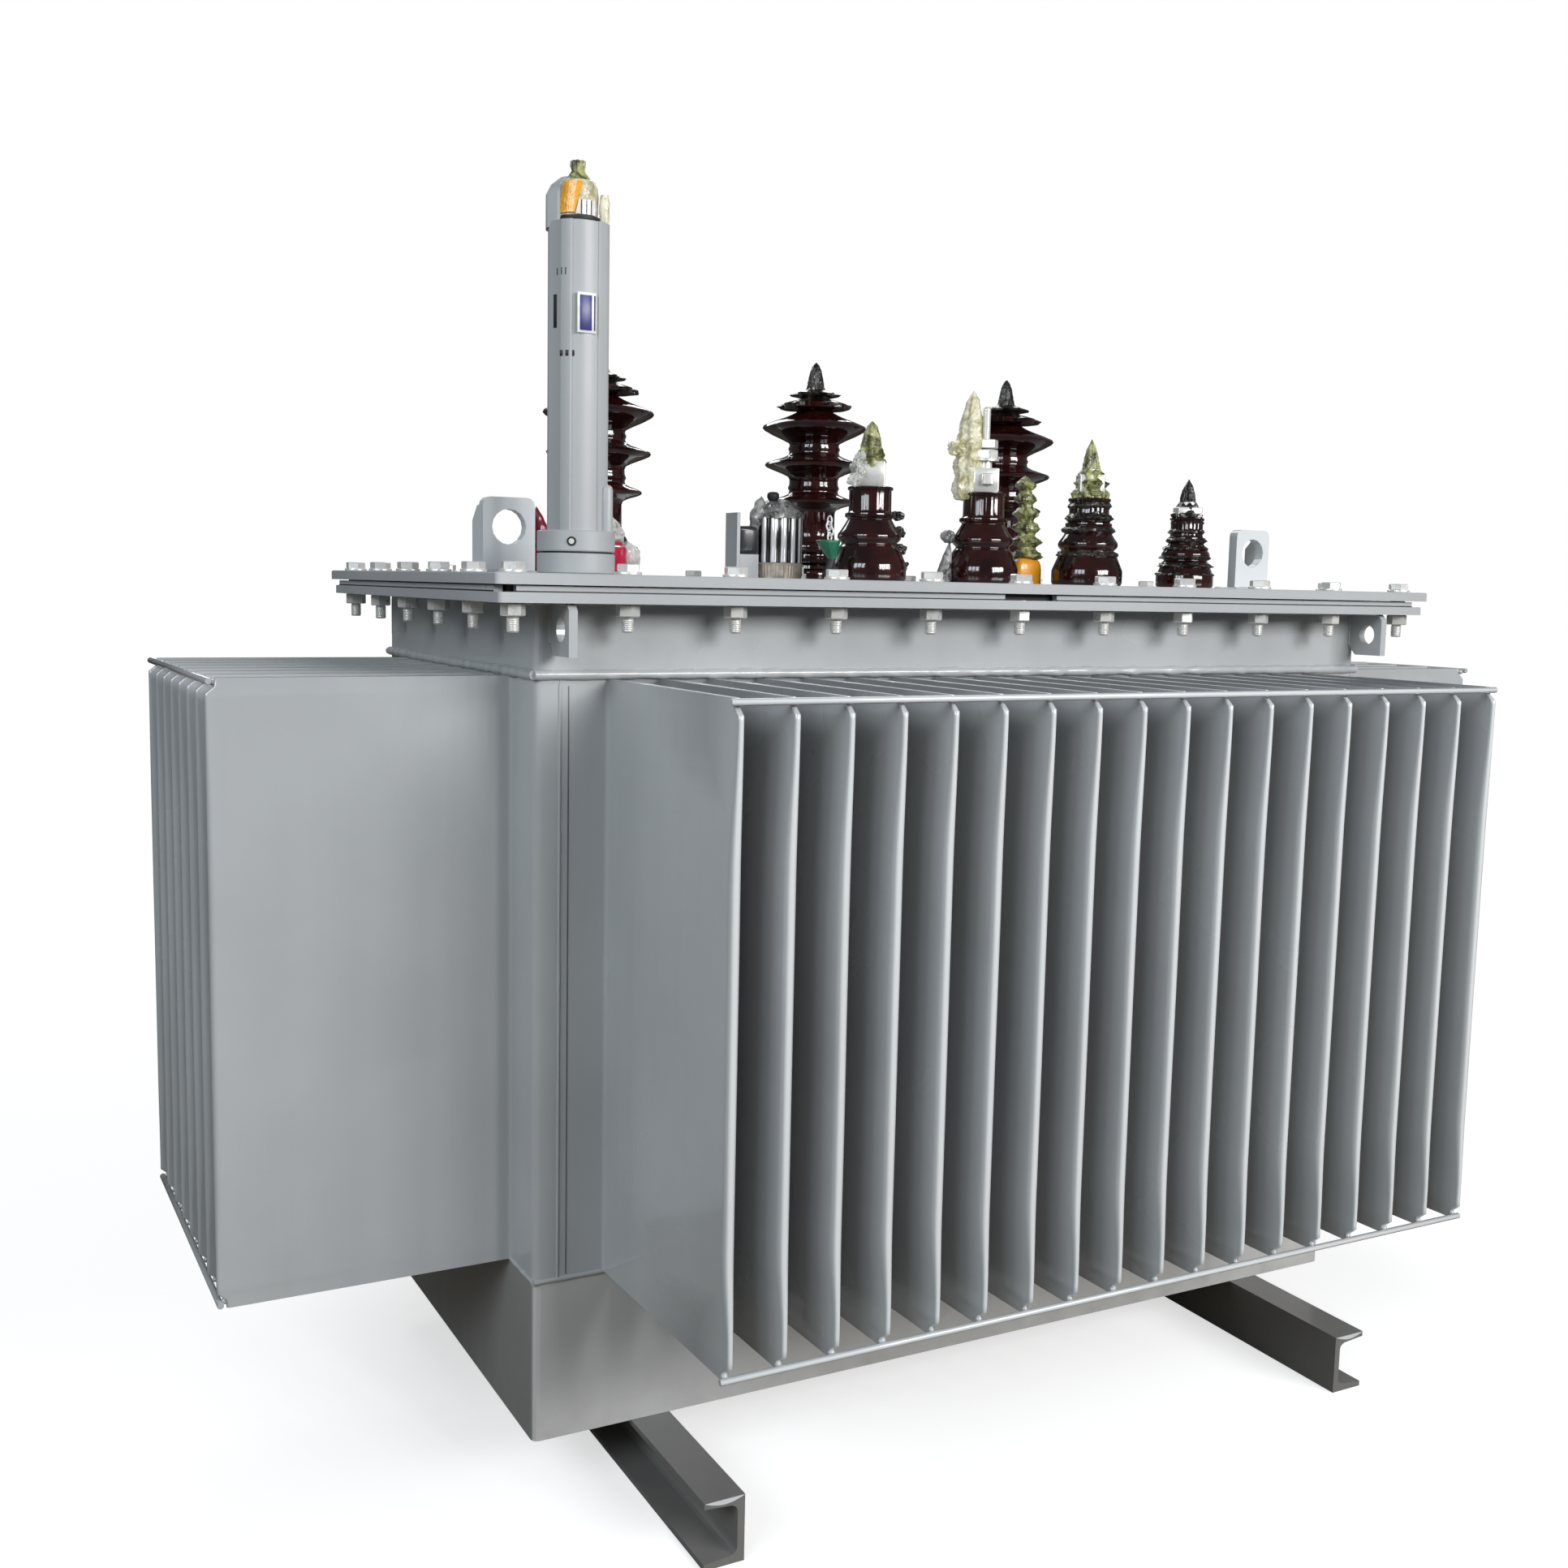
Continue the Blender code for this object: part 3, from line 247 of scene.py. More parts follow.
def enamel_finish(name, grime_top=None, tone=1.0, rough=0.20, coat=0.35, root_shade=0.0, warm=0.0):
    """Glossy grey enamel with orange peel, soft sheet waves, drift of tone, dust and runs.

    grime_top is how high the dirt of the foot reaches, and root_shade how dark the painted shade makes the
    fins at their roots. With root_shade the fin noses also get a painted highlight; with grime_top the faces
    out at the tank's ends get painted shade.
    """
    red, green, blue = colours().enamel
    colour = (red * tone * (1.0 + warm), green * tone, blue * tone * (1.0 - warm))
    made = Finish(name, colour, 0.24, coat=coat, coat_roughness=0.08)
    cloud = made.noise(5.0, detail=4.0)
    peel = made.noise(310.0, detail=2.0)
    wave = made.noise(11.0, detail=1.0)
    dust = made.noise(1400.0, detail=2.0).between(0.68, 0.80)
    run = made.noise(1.0, detail=4.0, place=made.stretched(60.0, 60.0, 3.0)).between(0.52, 0.80)
    paint = made.blend(cloud.between(0.32, 0.68), made.shade(0.93), made.shade(1.05))
    paint = made.blend(dust * 0.35, paint, made.shade(0.62))
    paint = made.blend(run * 0.10, paint, made.shade(0.70))
    if root_shade:
        # Painted shade: front and rear fins darken towards their roots, where little light reaches between
        # them; the end walls are left clear.
        unshaded = made.outward("Y", ROOT_SHADE_FADES_Y).math('MAXIMUM', made.outward("X", ROOT_SHADE_STOPS_X))
        paint = made.blend((1.0 - unshaded) * root_shade, paint, made.shade(0.30))
        # Painted highlight: a pale line along each fin nose.
        paint = made.blend(made.outward("Y", NOSE_PAINTED_HIGHLIGHT_Y) * 0.8, paint, made.shade(1.60))
    if grime_top is not None:
        low = 1.0 - made.coordinate("Z").between(0.0, grime_top)
        soil = (low * made.noise(38.0, detail=5.0).between(0.35, 0.75)).math('MULTIPLY', 0.55, clamp=True)
        paint = made.blend(soil, paint, (0.20, 0.19, 0.17))
        made.feed("Roughness", 0.02 + rough + cloud * 0.10 + soil * 0.45)
        # Painted shade: faces out at the tank's ends are darkened, as they lie in the shade under the end
        # fins.
        paint = made.blend(made.outward("X", BASE_END_SHADE_X) * 0.72, paint, made.shade(0.30))
    else:
        made.feed("Roughness", rough + cloud * 0.12 + dust * 0.15)
    made.feed("Base Color", paint)
    made.bump(peel + wave * 14.0 + dust * 1.2, 0.00006)
    return made.material


def porcelain_finish():
    """Dark maroon glaze, a little redder in clouds."""
    made = Finish("maroon_glaze", colours().porcelain, 0.10, coat=0.5, coat_roughness=0.03, ior=1.50)
    cloud = made.noise(42.0, detail=3.0)
    red = tuple(part * share for part, share in zip(made.colour, (2.6, 2.0, 1.7)))
    made.feed("Base Color", made.blend(cloud.between(0.35, 0.75), made.shade(0.7), red))
    made.feed("Roughness", 0.07 + cloud * 0.08)
    made.bump(made.noise(120.0, detail=2.0), 0.00025)
    return made.material


def zinc_finish():
    """Bright zinc plate that yellows in clouds."""
    made = Finish("zinc_plate", colours().zinc, 0.3, metallic=0.55)
    cloud = made.noise(160.0, detail=4.0)
    yellow = tuple(part * share for part, share in zip(made.colour, (1.0, 0.97, 0.90)))
    made.feed("Base Color", made.blend(cloud.between(0.4, 0.7), made.shade(1.0), yellow))
    made.feed("Roughness", 0.18 + cloud * 0.26)
    made.bump(made.noise(900.0, detail=2.0), 0.00005)
    return made.material


def rubber_finish():
    """Dull black rubber with a fine grain."""
    made = Finish("black_gasket", (0.012, 0.012, 0.013), 0.55)
    grain = made.noise(700.0, detail=3.0)
    made.feed("Base Color", made.blend(grain, made.shade(0.6), made.shade(1.8)))
    made.feed("Roughness", 0.42 + grain * 0.3)
    made.bump(grain, 0.0001)
    return made.material


def film_finish(name, pale, dark, low, high, gloss=0.16, alpha=1.0, grain=70.0):
    """Crinkled plastic film: pale where it is stretched, dark where it is bunched, sharp small glints."""
    made = Finish(name, pale, gloss, coat=0.4, coat_roughness=0.05)
    fold = made.noise(grain, detail=5.0, roughness=0.62, distortion=0.8)
    fine = made.noise(grain * 5.0, detail=3.0, roughness=0.6)
    made.feed("Base Color", made.blend(fold.between(low, high), dark, pale))
    made.feed("Roughness", gloss * 0.7 + fine * 0.22)
    made.bump(fold * 3.0 + fine, 0.0009)
    if alpha < 1.0:
        made.feed("Alpha", alpha * 0.75 + fold * (alpha * 0.5))
    return made.material


def gloss_finish(name, colour, roughness=0.3, metallic=0.0, coat=0.0, grain=220.0, drift=0.14):
    """Plain moulded, painted or plated finish with a slight drift of tone and gloss."""
    made = Finish(name, colour, roughness, metallic=metallic, coat=coat)
    cloud = made.noise(grain * 0.25, detail=3.0)
    tone = made.blend(cloud.between(0.3, 0.7), made.shade(1.0 - drift), made.shade(1.0 + drift))
    made.feed("Base Color", tone)
    made.feed("Roughness", roughness * 0.75 + cloud * (roughness * 0.5))
    made.bump(made.noise(grain, detail=2.0), 0.00006)
    return made.material


def fluted_painted_reflection_finish(name, at, flutes):
    """Plated cover whose flutes and lands carry painted reflections: near-black flutes between bright lands,
    counted round an upright axis.
    """
    made = Finish(name, (0.86, 0.86, 0.87), 0.14, metallic=0.35, coat=0.4)
    angle = (made.coordinate("Y") - at[1]).math('ARCTAN2', made.coordinate("X") - at[0])
    reflection_stripe = (angle * float(flutes)).math('COSINE').between(-0.30, 0.15)
    cloud = made.noise(60.0, detail=3.0)
    # Painted reflection: near-black flutes and bright lands stand in for the dark and light stripes the
    # plating reflects.
    made.feed("Base Color", made.blend(reflection_stripe, (0.022, 0.021, 0.022), made.shade(1.0)))
    made.feed("Roughness", 0.10 + cloud * 0.10)
    made.bump(made.noise(240.0, detail=2.0), 0.00003)
    return made.material


class Shelf:
    """The finishes of this object, each made once when first asked for."""
    made = {}

    @classmethod
    def take(cls, name):
        if name not in cls.made:
            cls.made[name] = cls.recipe(name)
        return cls.made[name]

    @staticmethod
    def recipe(name):
        tint = colours()
        recipes = {
            "enamel": lambda: enamel_finish("tank_enamel"),
            # Fin enamel with painted shade towards the roots and a painted highlight along the noses.
            "fin_enamel": lambda: enamel_finish("fin_enamel", coat=0.9, root_shade=0.62),
            # Base enamel: dirt towards the floor, a lighter tone as painted light on the shaded base front,
            # and painted shade on its end faces.
            "base_enamel": lambda: enamel_finish(
                "base_enamel", grime_top=0.12, tone=1.20, rough=0.42, coat=0.04, warm=0.04),
            # Foot enamel: a much darker tone as painted shade for the feet under the tank, and dirt towards
            # the floor.
            "foot_enamel": lambda: enamel_finish(
                "foot_enamel", grime_top=0.10, tone=0.37, rough=0.30, warm=0.05),
            "lug_enamel": lambda: enamel_finish("lug_enamel", tone=1.45, rough=0.34),
            "gauge_enamel": lambda: enamel_finish("gauge_enamel", tone=0.96, rough=0.40, coat=0.05),
            "porcelain": porcelain_finish,
            "zinc": zinc_finish,
            "rubber": rubber_finish,
            "film": lambda: film_finish("olive_film", tint.film_pale, tint.film_olive, 0.42, 0.60),
            "film_amber": lambda: film_finish(
                "amber_film", (0.90, 0.46, 0.05), (0.84, 0.36, 0.01), 0.40, 0.60, grain=26.0),
            "film_straw": lambda: film_finish(
                "straw_film", (0.93, 0.89, 0.66), (0.42, 0.37, 0.14), 0.36, 0.56, alpha=0.72, grain=90.0),
            "film_black": lambda: film_finish(
                "black_film", (0.055, 0.045, 0.035), (0.006, 0.004, 0.004), 0.45, 0.72, gloss=0.10),
            "film_clear": lambda: film_finish(
                "clear_film", (0.74, 0.74, 0.71), (0.20, 0.20, 0.18), 0.30, 0.56, alpha=0.62),
            "film_smoke": lambda: film_finish(
                "smoke_film", (0.40, 0.40, 0.39), (0.03, 0.03, 0.03), 0.36, 0.60, alpha=0.85),
            "chrome": lambda: fluted_painted_reflection_finish("bright_fluted_plate", seat("tap_changer_cover"), 14),
            "brass": lambda: gloss_finish(
                "dull_brass", (0.60, 0.52, 0.43), 0.36, metallic=0.5, grain=420.0, drift=0.3),
            "red": lambda: gloss_finish("relay_red", tint.red, 0.28, coat=0.4),
            "dark_red": lambda: gloss_finish("dark_red_cap", (0.15, 0.004, 0.020), 0.34, coat=0.3),
            "slate": lambda: gloss_finish("slate_housing", (0.024, 0.026, 0.030), 0.30, coat=0.2,
            grain=600.0),
            "white_plastic": lambda: gloss_finish("white_plastic", (0.80, 0.80, 0.79), 0.28, coat=0.3),
            "green": lambda: gloss_finish("cap_green", tint.green, 0.22, coat=0.5, drift=0.3),
            "orange": lambda: gloss_finish("block_orange", tint.orange, 0.32, coat=0.3),
            "blue": lambda: gloss_finish("label_blue", (0.035, 0.035, 0.20), 0.35),
            # Painted shadow of the corner lap steps.
            "seam": lambda: gloss_finish("grey_seam", (0.13, 0.13, 0.13), 0.45),
            "shadow": lambda: gloss_finish("dark_recess", (0.012, 0.012, 0.013), 0.5),
        }
        return recipes[name]()


# Shapes

class Shape:
    """Closed shells gathered into one mesh, at their places on the transformer."""

    def __init__(self):
        self.cells = bmesh.new()

    def loft(self, rings):
        """Join loops of equal point counts; a loop of one point closes to a tip."""
        made = [[self.cells.verts.new(point) for point in ring] for ring in rings]
        for low, high in zip(made, made[1:]):
            self.strip(low, high)
        for ring, flip in ((made[0], True), (made[-1], False)):
            if len(ring) > 2:
                self.cells.faces.new(list(reversed(ring)) if flip else ring)

    def strip(self, low, high):
        """Faces between two loops, either of which may be one point."""
        count = max(len(low), len(high))
        for i in range(count):
            j = (i + 1) % count
            if len(low) == 1:
                self.cells.faces.new((low[0], high[j], high[i]))
            elif len(high) == 1:
                self.cells.faces.new((low[i], low[j], high[0]))
            else:
                self.cells.faces.new((low[i], low[j], high[j], high[i]))

    def turned(self, profile, at, segments=48, outline=None):
        """Turn (radius, height) points about an upright axis; outline(angle, height) scales the radius."""
        rings = []
        for radius, height in profile:
            if radius <= 0.0:
                rings.append([Vector(at) + Vector((0.0, 0.0, height))])
                continue
            ring = []
            for k in range(segments):
                angle = TURN * k / segments
                reach = radius * (outline(angle, height) if outline else 1.0)
                ring.append(Vector(at) + Vector((reach * math.cos(angle), reach * math.sin(angle), height)))
            rings.append(ring)
        self.loft(rings)

    def prism(self, outline, low, high, at, turn=0.0, edge=0.0):
        """Upright prism from an outline, with chamfered ends."""
        def ring(height, shrink):
            spin = Matrix.Rotation(turn, 3, 'Z')
            points = inset_outline(outline, shrink) if shrink else outline
            return [Vector(at) + spin @ Vector((x, y, height)) for x, y in points]
        if edge:
            self.loft([ring(low, edge), ring(low + edge, 0.0), ring(high - edge, 0.0), ring(high, edge)])
        else:
            self.loft([ring(low, 0.0), ring(high, 0.0)])

    def tube(self, points, radius, segments=10, swell=None):
        """Round bar along points, closed at both ends; swell(i) scales the radius at a point."""
        points = [Vector(p) for p in points]
        rings = []
        side = None
        for i, point in enumerate(points):
            ahead = points[min(i + 1, len(points) - 1)] - points[max(i - 1, 0)]
            ahead.normalize()
            if side is None:
                side = ahead.orthogonal().normalized()
            side = (side - ahead * side.dot(ahead)).normalized()
            up = ahead.cross(side)
            reach = radius * (swell(i) if swell else 1.0)
            rings.append([
                point + reach * (math.cos(TURN * k / segments) * side + math.sin(TURN * k / segments) * up)
                for k in range(segments)
            ])
        self.loft(rings)

    def hoop(self, points, radius, segments=8):
        """Round bar along a closed path."""
        points = [Vector(p) for p in points]
        count = len(points)
        centre = sum(points, Vector()) / count
        rings = []
        for i, point in enumerate(points):
            ahead = (points[(i + 1) % count] - points[i - 1]).normalized()
            out = (point - centre)
            out = (out - ahead * out.dot(ahead)).normalized()
            up = ahead.cross(out)
            ring = []
            for k in range(segments):
                angle = TURN * k / segments
                way = math.cos(angle) * out + math.sin(angle) * up
                ring.append(self.cells.verts.new(point + radius * way))
            rings.append(ring)
        for i in range(count):
            self.strip(rings[i], rings[(i + 1) % count])

    def bead(self, points, radius, seed, step=0.006):
        """Weld bead: a lumpy round bar along straight runs between points."""
        path = walk(points, step)

        def lump(i):
            return 1.0 + 0.28 * noise.noise(path[i] * 95.0 + Vector((seed, 0.0, 0.0)))
        self.tube(path, radius, segments=8, swell=lump)

    def crumpled(self, profile, at, seed, depth=None, grain=0.012, segments=52, rise=0.0025,
                 lean=(0.0, 0.0),
                 pleats=0):
        """Film gathered round an upright axis: a turned form broken up by creases."""
        depth = sizes().film_depth if depth is None else depth
        path = even_steps(profile, rise)
        top = path[-1][1]
        bottom = path[0][1]
        rings = []
        for radius, height in path:
            share = (height - bottom) / max(top - bottom, 1e-6)
            centre = Vector(at) + Vector((lean[0] * share, lean[1] * share, height))
            if radius <= 1e-6:
                rings.append([centre])
                continue
            ring = []
            for k in range(segments):
                angle = TURN * k / segments
                way = Vector((math.cos(angle), math.sin(angle), 0.0))
                spot = (centre + way * radius) / grain + Vector((seed * 5.7, seed * 2.3, seed * 9.1))
                crease = noise.turbulence(spot, 3, True) - 0.45
                fold = 0.10 * math.sin(pleats * angle + seed + 40.0 * height) if pleats else 0.0
                reach = radius * (1.0 + depth * 1.6 * crease + fold)
                drop = 0.25 * depth * radius * noise.noise(spot * 1.7)
                ring.append(centre + way * reach + Vector((0.0, 0.0, drop)))
            rings.append(ring)
        self.loft(rings)

    def lump(self, centre, radius, seed, depth=0.35, grain=0.010, squash=(1.0, 1.0, 1.0)):
        """A loose ball of crumpled film."""
        before = len(self.cells.verts)
        bmesh.ops.create_icosphere(self.cells, subdivisions=4, radius=1.0)
        self.cells.verts.ensure_lookup_table()
        for vert in self.cells.verts[before:]:
            way = vert.co.normalized()
            spot = (Vector(centre) + way * radius) / grain + Vector((seed * 3.7, seed * 8.3, seed))
            reach = radius * (1.0 + depth * 1.5 * (noise.turbulence(spot, 3, True) - 0.45))
            vert.co = Vector(centre) + Vector([part * share * reach for part, share in zip(way, squash)])

    def finish(self, name, material, slot, replaces=(), fold=40.0):
        """Make the shells an object that rides on the body."""
        bmesh.ops.remove_doubles(self.cells, verts=self.cells.verts[:], dist=1e-7)
        bmesh.ops.recalc_face_normals(self.cells, faces=self.cells.faces[:])
        wide = [face for face in self.cells.faces if len(face.verts) > 4]
        if wide:
            bmesh.ops.triangulate(self.cells, faces=wide, ngon_method='EAR_CLIP')
        mesh = bpy.data.meshes.new(name)
        self.cells.to_mesh(mesh)
        self.cells.free()
        settle(name, mesh, material, replaces, fold)


def settle(name, mesh, material, replaces=(), fold=40.0):
    """Give a mesh its finish and its place in the frame."""
    mesh.materials.clear()
    mesh.materials.append(Shelf.take(material))
    mesh.shade_smooth()
    mesh.set_sharp_from_angle(angle=math.radians(fold))
    piece = bpy.data.objects.new(name, mesh)
    bpy.context.scene.collection.objects.link(piece)
    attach(piece, ROOT)
    if replaces:
        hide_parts(*replaces)


def inset_outline(outline, amount):
    """Outline drawn in towards its middle by an amount."""
    middle = Vector((sum(x for x, _ in outline), sum(y for _, y in outline))) / len(outline)
    drawn = []
    for x, y in outline:
        away = Vector((x, y)) - middle
        drawn.append(middle + away * max(0.0, 1.0 - amount / max(away.length, 1e-9)))
    return [(point.x, point.y) for point in drawn]


def hexagon(flats):
    """Outline of a hexagon from its width across flats."""
    reach = flats / math.sqrt(3.0)
    return [(reach * math.cos(TURN * k / 6), reach * math.sin(TURN * k / 6)) for k in range(6)]


def box_outline(length, width, radius, steps=4):
    """Outline of a rectangle with rounded corners."""
    points = []
    for quarter, (sx, sy) in enumerate(((1, 1), (-1, 1), (-1, -1), (1, -1))):
        for step in range(steps + 1):
            angle = math.pi / 2 * (quarter + step / steps)
            points.append((sx * (length / 2 - radius) + radius * math.cos(angle),
                           sy * (width / 2 - radius) + radius * math.sin(angle)))
    return points


def walk(points, step):
    """Even steps along straight runs between points."""
    points = [Vector(p) for p in points]
    path = [points[0]]
    for start, end in zip(points, points[1:]):
        count = max(1, round((end - start).length / step))
        path += [start.lerp(end, i / count) for i in range(1, count + 1)]
    return path


def even_steps(profile, rise):
    """The same profile with points no further apart than rise."""
    path = [profile[0]]
    for (r0, z0), (r1, z1) in zip(profile, profile[1:]):
        count = max(1, round(math.hypot(r1 - r0, z1 - z0) / rise))
        path += [(r0 + (r1 - r0) * i / count, z0 + (z1 - z0) * i / count) for i in range(1, count + 1)]
    return path


def mm(points, base=0.0, tip=None):
    """Profile from points in millimetres above a base, closed on the axis at a tip where there is one."""
    profile = [(radius / 1000, base + height / 1000) for radius, height in points]
    return profile if tip is None else profile + [(0.0, tip)]


def ease(share):
    """Slow at both ends and fast between."""
    return share * share * (3.0 - 2.0 * share)


def seat(node):
    """Where a fitting stands on the lid: the middle of its node, at the lid's top."""
    low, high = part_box(node)
    return Vector(((low[0] + high[0]) / 2, (low[1] + high[1]) / 2, LID_TOP))


def top_of(node):
    """Height of a fitting's top above the lid."""
    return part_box(node)[1][2] - LID_TOP


def radius_of(node):
    """Half of a fitting's width."""
    low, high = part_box(node)
    return (high[0] - low[0]) / 2


def thread_profile(radius, low, high, pitch=0.00175, cut=0.0006):
    """Rings that read as a screw thread, with a chamfered end at the low side."""
    points = [(0.0, low), (radius - 2 * cut, low), (radius - cut, low + pitch / 2)]
    turns = int((high - low - pitch) / pitch)
    for turn in range(turns):
        base = low + pitch / 2 + turn * pitch
        points += [(radius, base + pitch * 0.35), (radius, base + pitch * 0.5),
            (radius - cut, base + pitch * 0.95)]
    points += [(radius - cut, high), (0.0, high)]
    return points


# Operators, one for each group of pieces

class TRANSFORMER_OT_paint_frame(bpy.types.Operator):
    """Give the CAD pieces that stay their finishes; the base's and the feet's copies of the enamel carry
    painted light and shade
    """
    bl_idname = "transformer.paint_frame"
    bl_label = "Paint frame"

    def execute(self, context):
        coats = (
            ("enamel", ("lid", "rim_flange", "tank_collar", *CORNER_PLATES)),
            ("base_enamel", ("tank_base",)),
            ("foot_enamel", FEET),
            ("rubber", ("lid_gasket",)),
            ("lug_enamel", LUGS),
        )
        for finish, nodes in coats:
            for name in nodes:
                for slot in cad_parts[name].material_slots:
                    slot.material = Shelf.take(finish)
        return {'FINISHED'}


FIN_MARGIN = 0.120
FIN_ROOT_BEND = 0.0035
FIN_LEAN = 0.46
ROD_SNIP = 0.008
ROOT_STEPS = 3
NOSE_STEPS = 10
BEND_STEPS = 4


def fin_places(length):
    """Places of the fins along a wall, whose two ends together keep a margin plain."""
    pitch = sizes().fin_pitch
    count = int((length - FIN_MARGIN) / pitch + 1)
    return [pitch * (i - (count - 1) / 2) for i in range(count)]


def fin_section(x, full, thickness, depth):
    """Outline of one folded fin: a straight root of full width, and a nose pinched against its right side."""
    half = thickness / 2
    nose = x + (full - thickness) * FIN_LEAN

    def root(side):
        bends = []
        for step in range(ROOT_STEPS + 1):
            angle = math.pi / 2 * step / ROOT_STEPS
            out = full / 2 + FIN_ROOT_BEND * (1 - math.sin(angle))
            bends.append((x + side * out, -FIN_ROOT_BEND * (1 - math.cos(angle))))
        return bends
    tip = []
    for step in range(NOSE_STEPS + 1):
        angle = math.pi * step / NOSE_STEPS
        tip.append((nose - half * math.cos(angle), half - depth - half * math.sin(angle)))
    return root(-1) + tip + root(1)[::-1]


def fin_levels(height, depth):
    """Heights up a fin wall with the thickness and depth of the fins there."""
    size = sizes()
    thin, full = size.fin_pinched, size.fin_thickness
    snip = ROD_SNIP * 1.7
    steps = 7

    def end(pinch, ramp):
        """Heights from one end: snipped under the rod, pinched shut, then opening out."""
        cut = [(0.0, thin, depth - ROD_SNIP - 0.0004), (ROD_SNIP * 0.95, thin, depth - ROD_SNIP * 0.9),
               (snip, thin, depth), ((snip + pinch) / 2, thin, depth)]
        opening = [(pinch + ramp * k / steps, thin + (full - thin) * ease(k / steps), depth)
                   for k in range(steps + 1)]
        return cut + opening

    body = [(height * share, full, depth) for share in (0.25, 0.35, 0.45, 0.55, 0.65)]
    high = [(height - z, t, d) for z, t, d in reversed(end(0.022, 0.125))]
    return end(0.026, 0.085) + body + high


def build_fin_wall(name, length, depth, returns, turn, at, seed):
    """Corrugated wall with rounded fin noses, soft root bends and the two rods across the fin corners."""
    size = sizes()
    height = WALL_TOP - WALL_BOTTOM
    half = length / 2
    lap, sheet, bend, gap, wander = 0.023, 0.002, 0.007, 0.0003, 0.0007
    places = fin_places(length)
    spin = Matrix.Rotation(turn, 3, 'Z')
    spot = Vector(at)

    def outline(thickness, deep, z):
        """Plan of the sheet at a height: one end, the fins, the other end and back along the inside."""
        if returns:
            corner = [(half, lap)]
            for step in range(BEND_STEPS + 1):
                angle = math.pi / 2 * step / BEND_STEPS
                corner.append((half - bend * (1 - math.cos(angle)), bend * (1 - math.sin(angle))))
            inside = [(half - sheet, lap), (half - sheet, bend), (half - bend, sheet)]
        else:
            corner = [(half - lap - gap, 0.0)]
            inside = [(half - lap - gap, sheet)]
        points = [(-x, y) for x, y in corner]
        for i, x in enumerate(places):
            sway = noise.noise(Vector((seed + i * 3.1, z * 4.0, 0.5)))
            bow = wander * sway * math.sin(math.pi * z / height)
            for px, py in fin_section(x, size.fin_thickness, thickness, deep):
                points.append((px + bow * (-py / depth), py))
        points += corner[::-1] + inside + [(-x, y) for x, y in reversed(inside)]
        return [spot + spin @ Vector((x, y, z)) for x, y in points]

    shape = Shape()
    shape.loft([outline(thickness, deep, z) for z, thickness, deep in fin_levels(height, depth)])
    reach = places[-1] + size.fin_pinched / 2 + 0.003
    bar = size.rod_radius
    for z in (bar, height - bar):
        y = -(depth - bar)
        run = [(-reach, y, z), (-reach + 0.0006, y, z), (reach - 0.0006, y, z), (reach, y, z)]
        shape.tube([spot + spin @ Vector(p) for p in run], bar, segments=16,
                   swell=lambda i: 0.86 if i in (0, 3) else 1.0)
    shape.finish(name, "fin_enamel", "grey_enamel", (name.replace("_dressed", ""),), fold=50.0)


WALLS = (
    ("front_fin_wall", False, 0.0, (0.0, -1.0)),
    ("rear_fin_wall", False, math.pi, (0.0, 1.0)),
    ("left_fin_wall", True, -math.pi / 2, (-1.0, 0.0)),
    ("right_fin_wall", True, math.pi / 2, (1.0, 0.0)),
)


def wall_facts(node, returns, way):
    """Length, fin depth and place of a fin wall, measured from its node."""
    low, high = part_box(node)
    if returns:
        outer = max(abs(low[0]), abs(high[0]))
        return 2 * TANK_HALF_Y, outer - TANK_HALF_X, (way[0] * TANK_HALF_X, 0.0, WALL_BOTTOM)
    outer = max(abs(low[1]), abs(high[1]))
    return 2 * TANK_HALF_X, outer - TANK_HALF_Y, (0.0, way[1] * TANK_HALF_Y, WALL_BOTTOM)


class TRANSFORMER_OT_fin_walls(bpy.types.Operator):
    """Fold the four corrugated fin walls"""
    bl_idname = "transformer.fin_walls"
    bl_label = "Fin walls"

    def execute(self, context):
        for seed, (node, returns, turn, way) in enumerate(WALLS):
            length, depth, at = wall_facts(node, returns, way)
            build_fin_wall(node + "_dressed", length, depth, returns, turn, at, seed * 11.0)
        return {'FINISHED'}


def node_group(name, inputs):
    """An empty geometry tree with named inputs and one geometry output."""
    tree = bpy.data.node_groups.new(name, 'GeometryNodeTree')
    tree.interface.new_socket("Geometry", in_out='INPUT', socket_type='NodeSocketGeometry')
    for label, kind in inputs:
        tree.interface.new_socket(label, in_out='INPUT', socket_type=kind)
    tree.interface.new_socket("Geometry", in_out='OUTPUT', socket_type='NodeSocketGeometry')
    return tree, tree.nodes.new("NodeGroupInput"), tree.nodes.new("NodeGroupOutput")


def geometry_node(tree, kind, settings=None, **inputs):
    made = tree.nodes.new(kind)
    for key, value in (settings or {}).items():
        setattr(made, key, value)
    for key, value in inputs.items():
        socket = made.inputs[key.replace("_", " ")]
        if isinstance(value, bpy.types.NodeSocket):
            tree.links.new(value, socket)
        else:
            socket.default_value = value
    return made


def number(tree, operation, first, second=0.0):
    """The result of a Math node on two values, each a socket or a number."""
    made = tree.nodes.new("ShaderNodeMath")
    made.operation = operation
    for socket, value in zip(made.inputs, (first, second)):
        if isinstance(value, bpy.types.NodeSocket):
            tree.links.new(value, socket)
        else:
            socket.default_value = value
    return made.outputs[0]


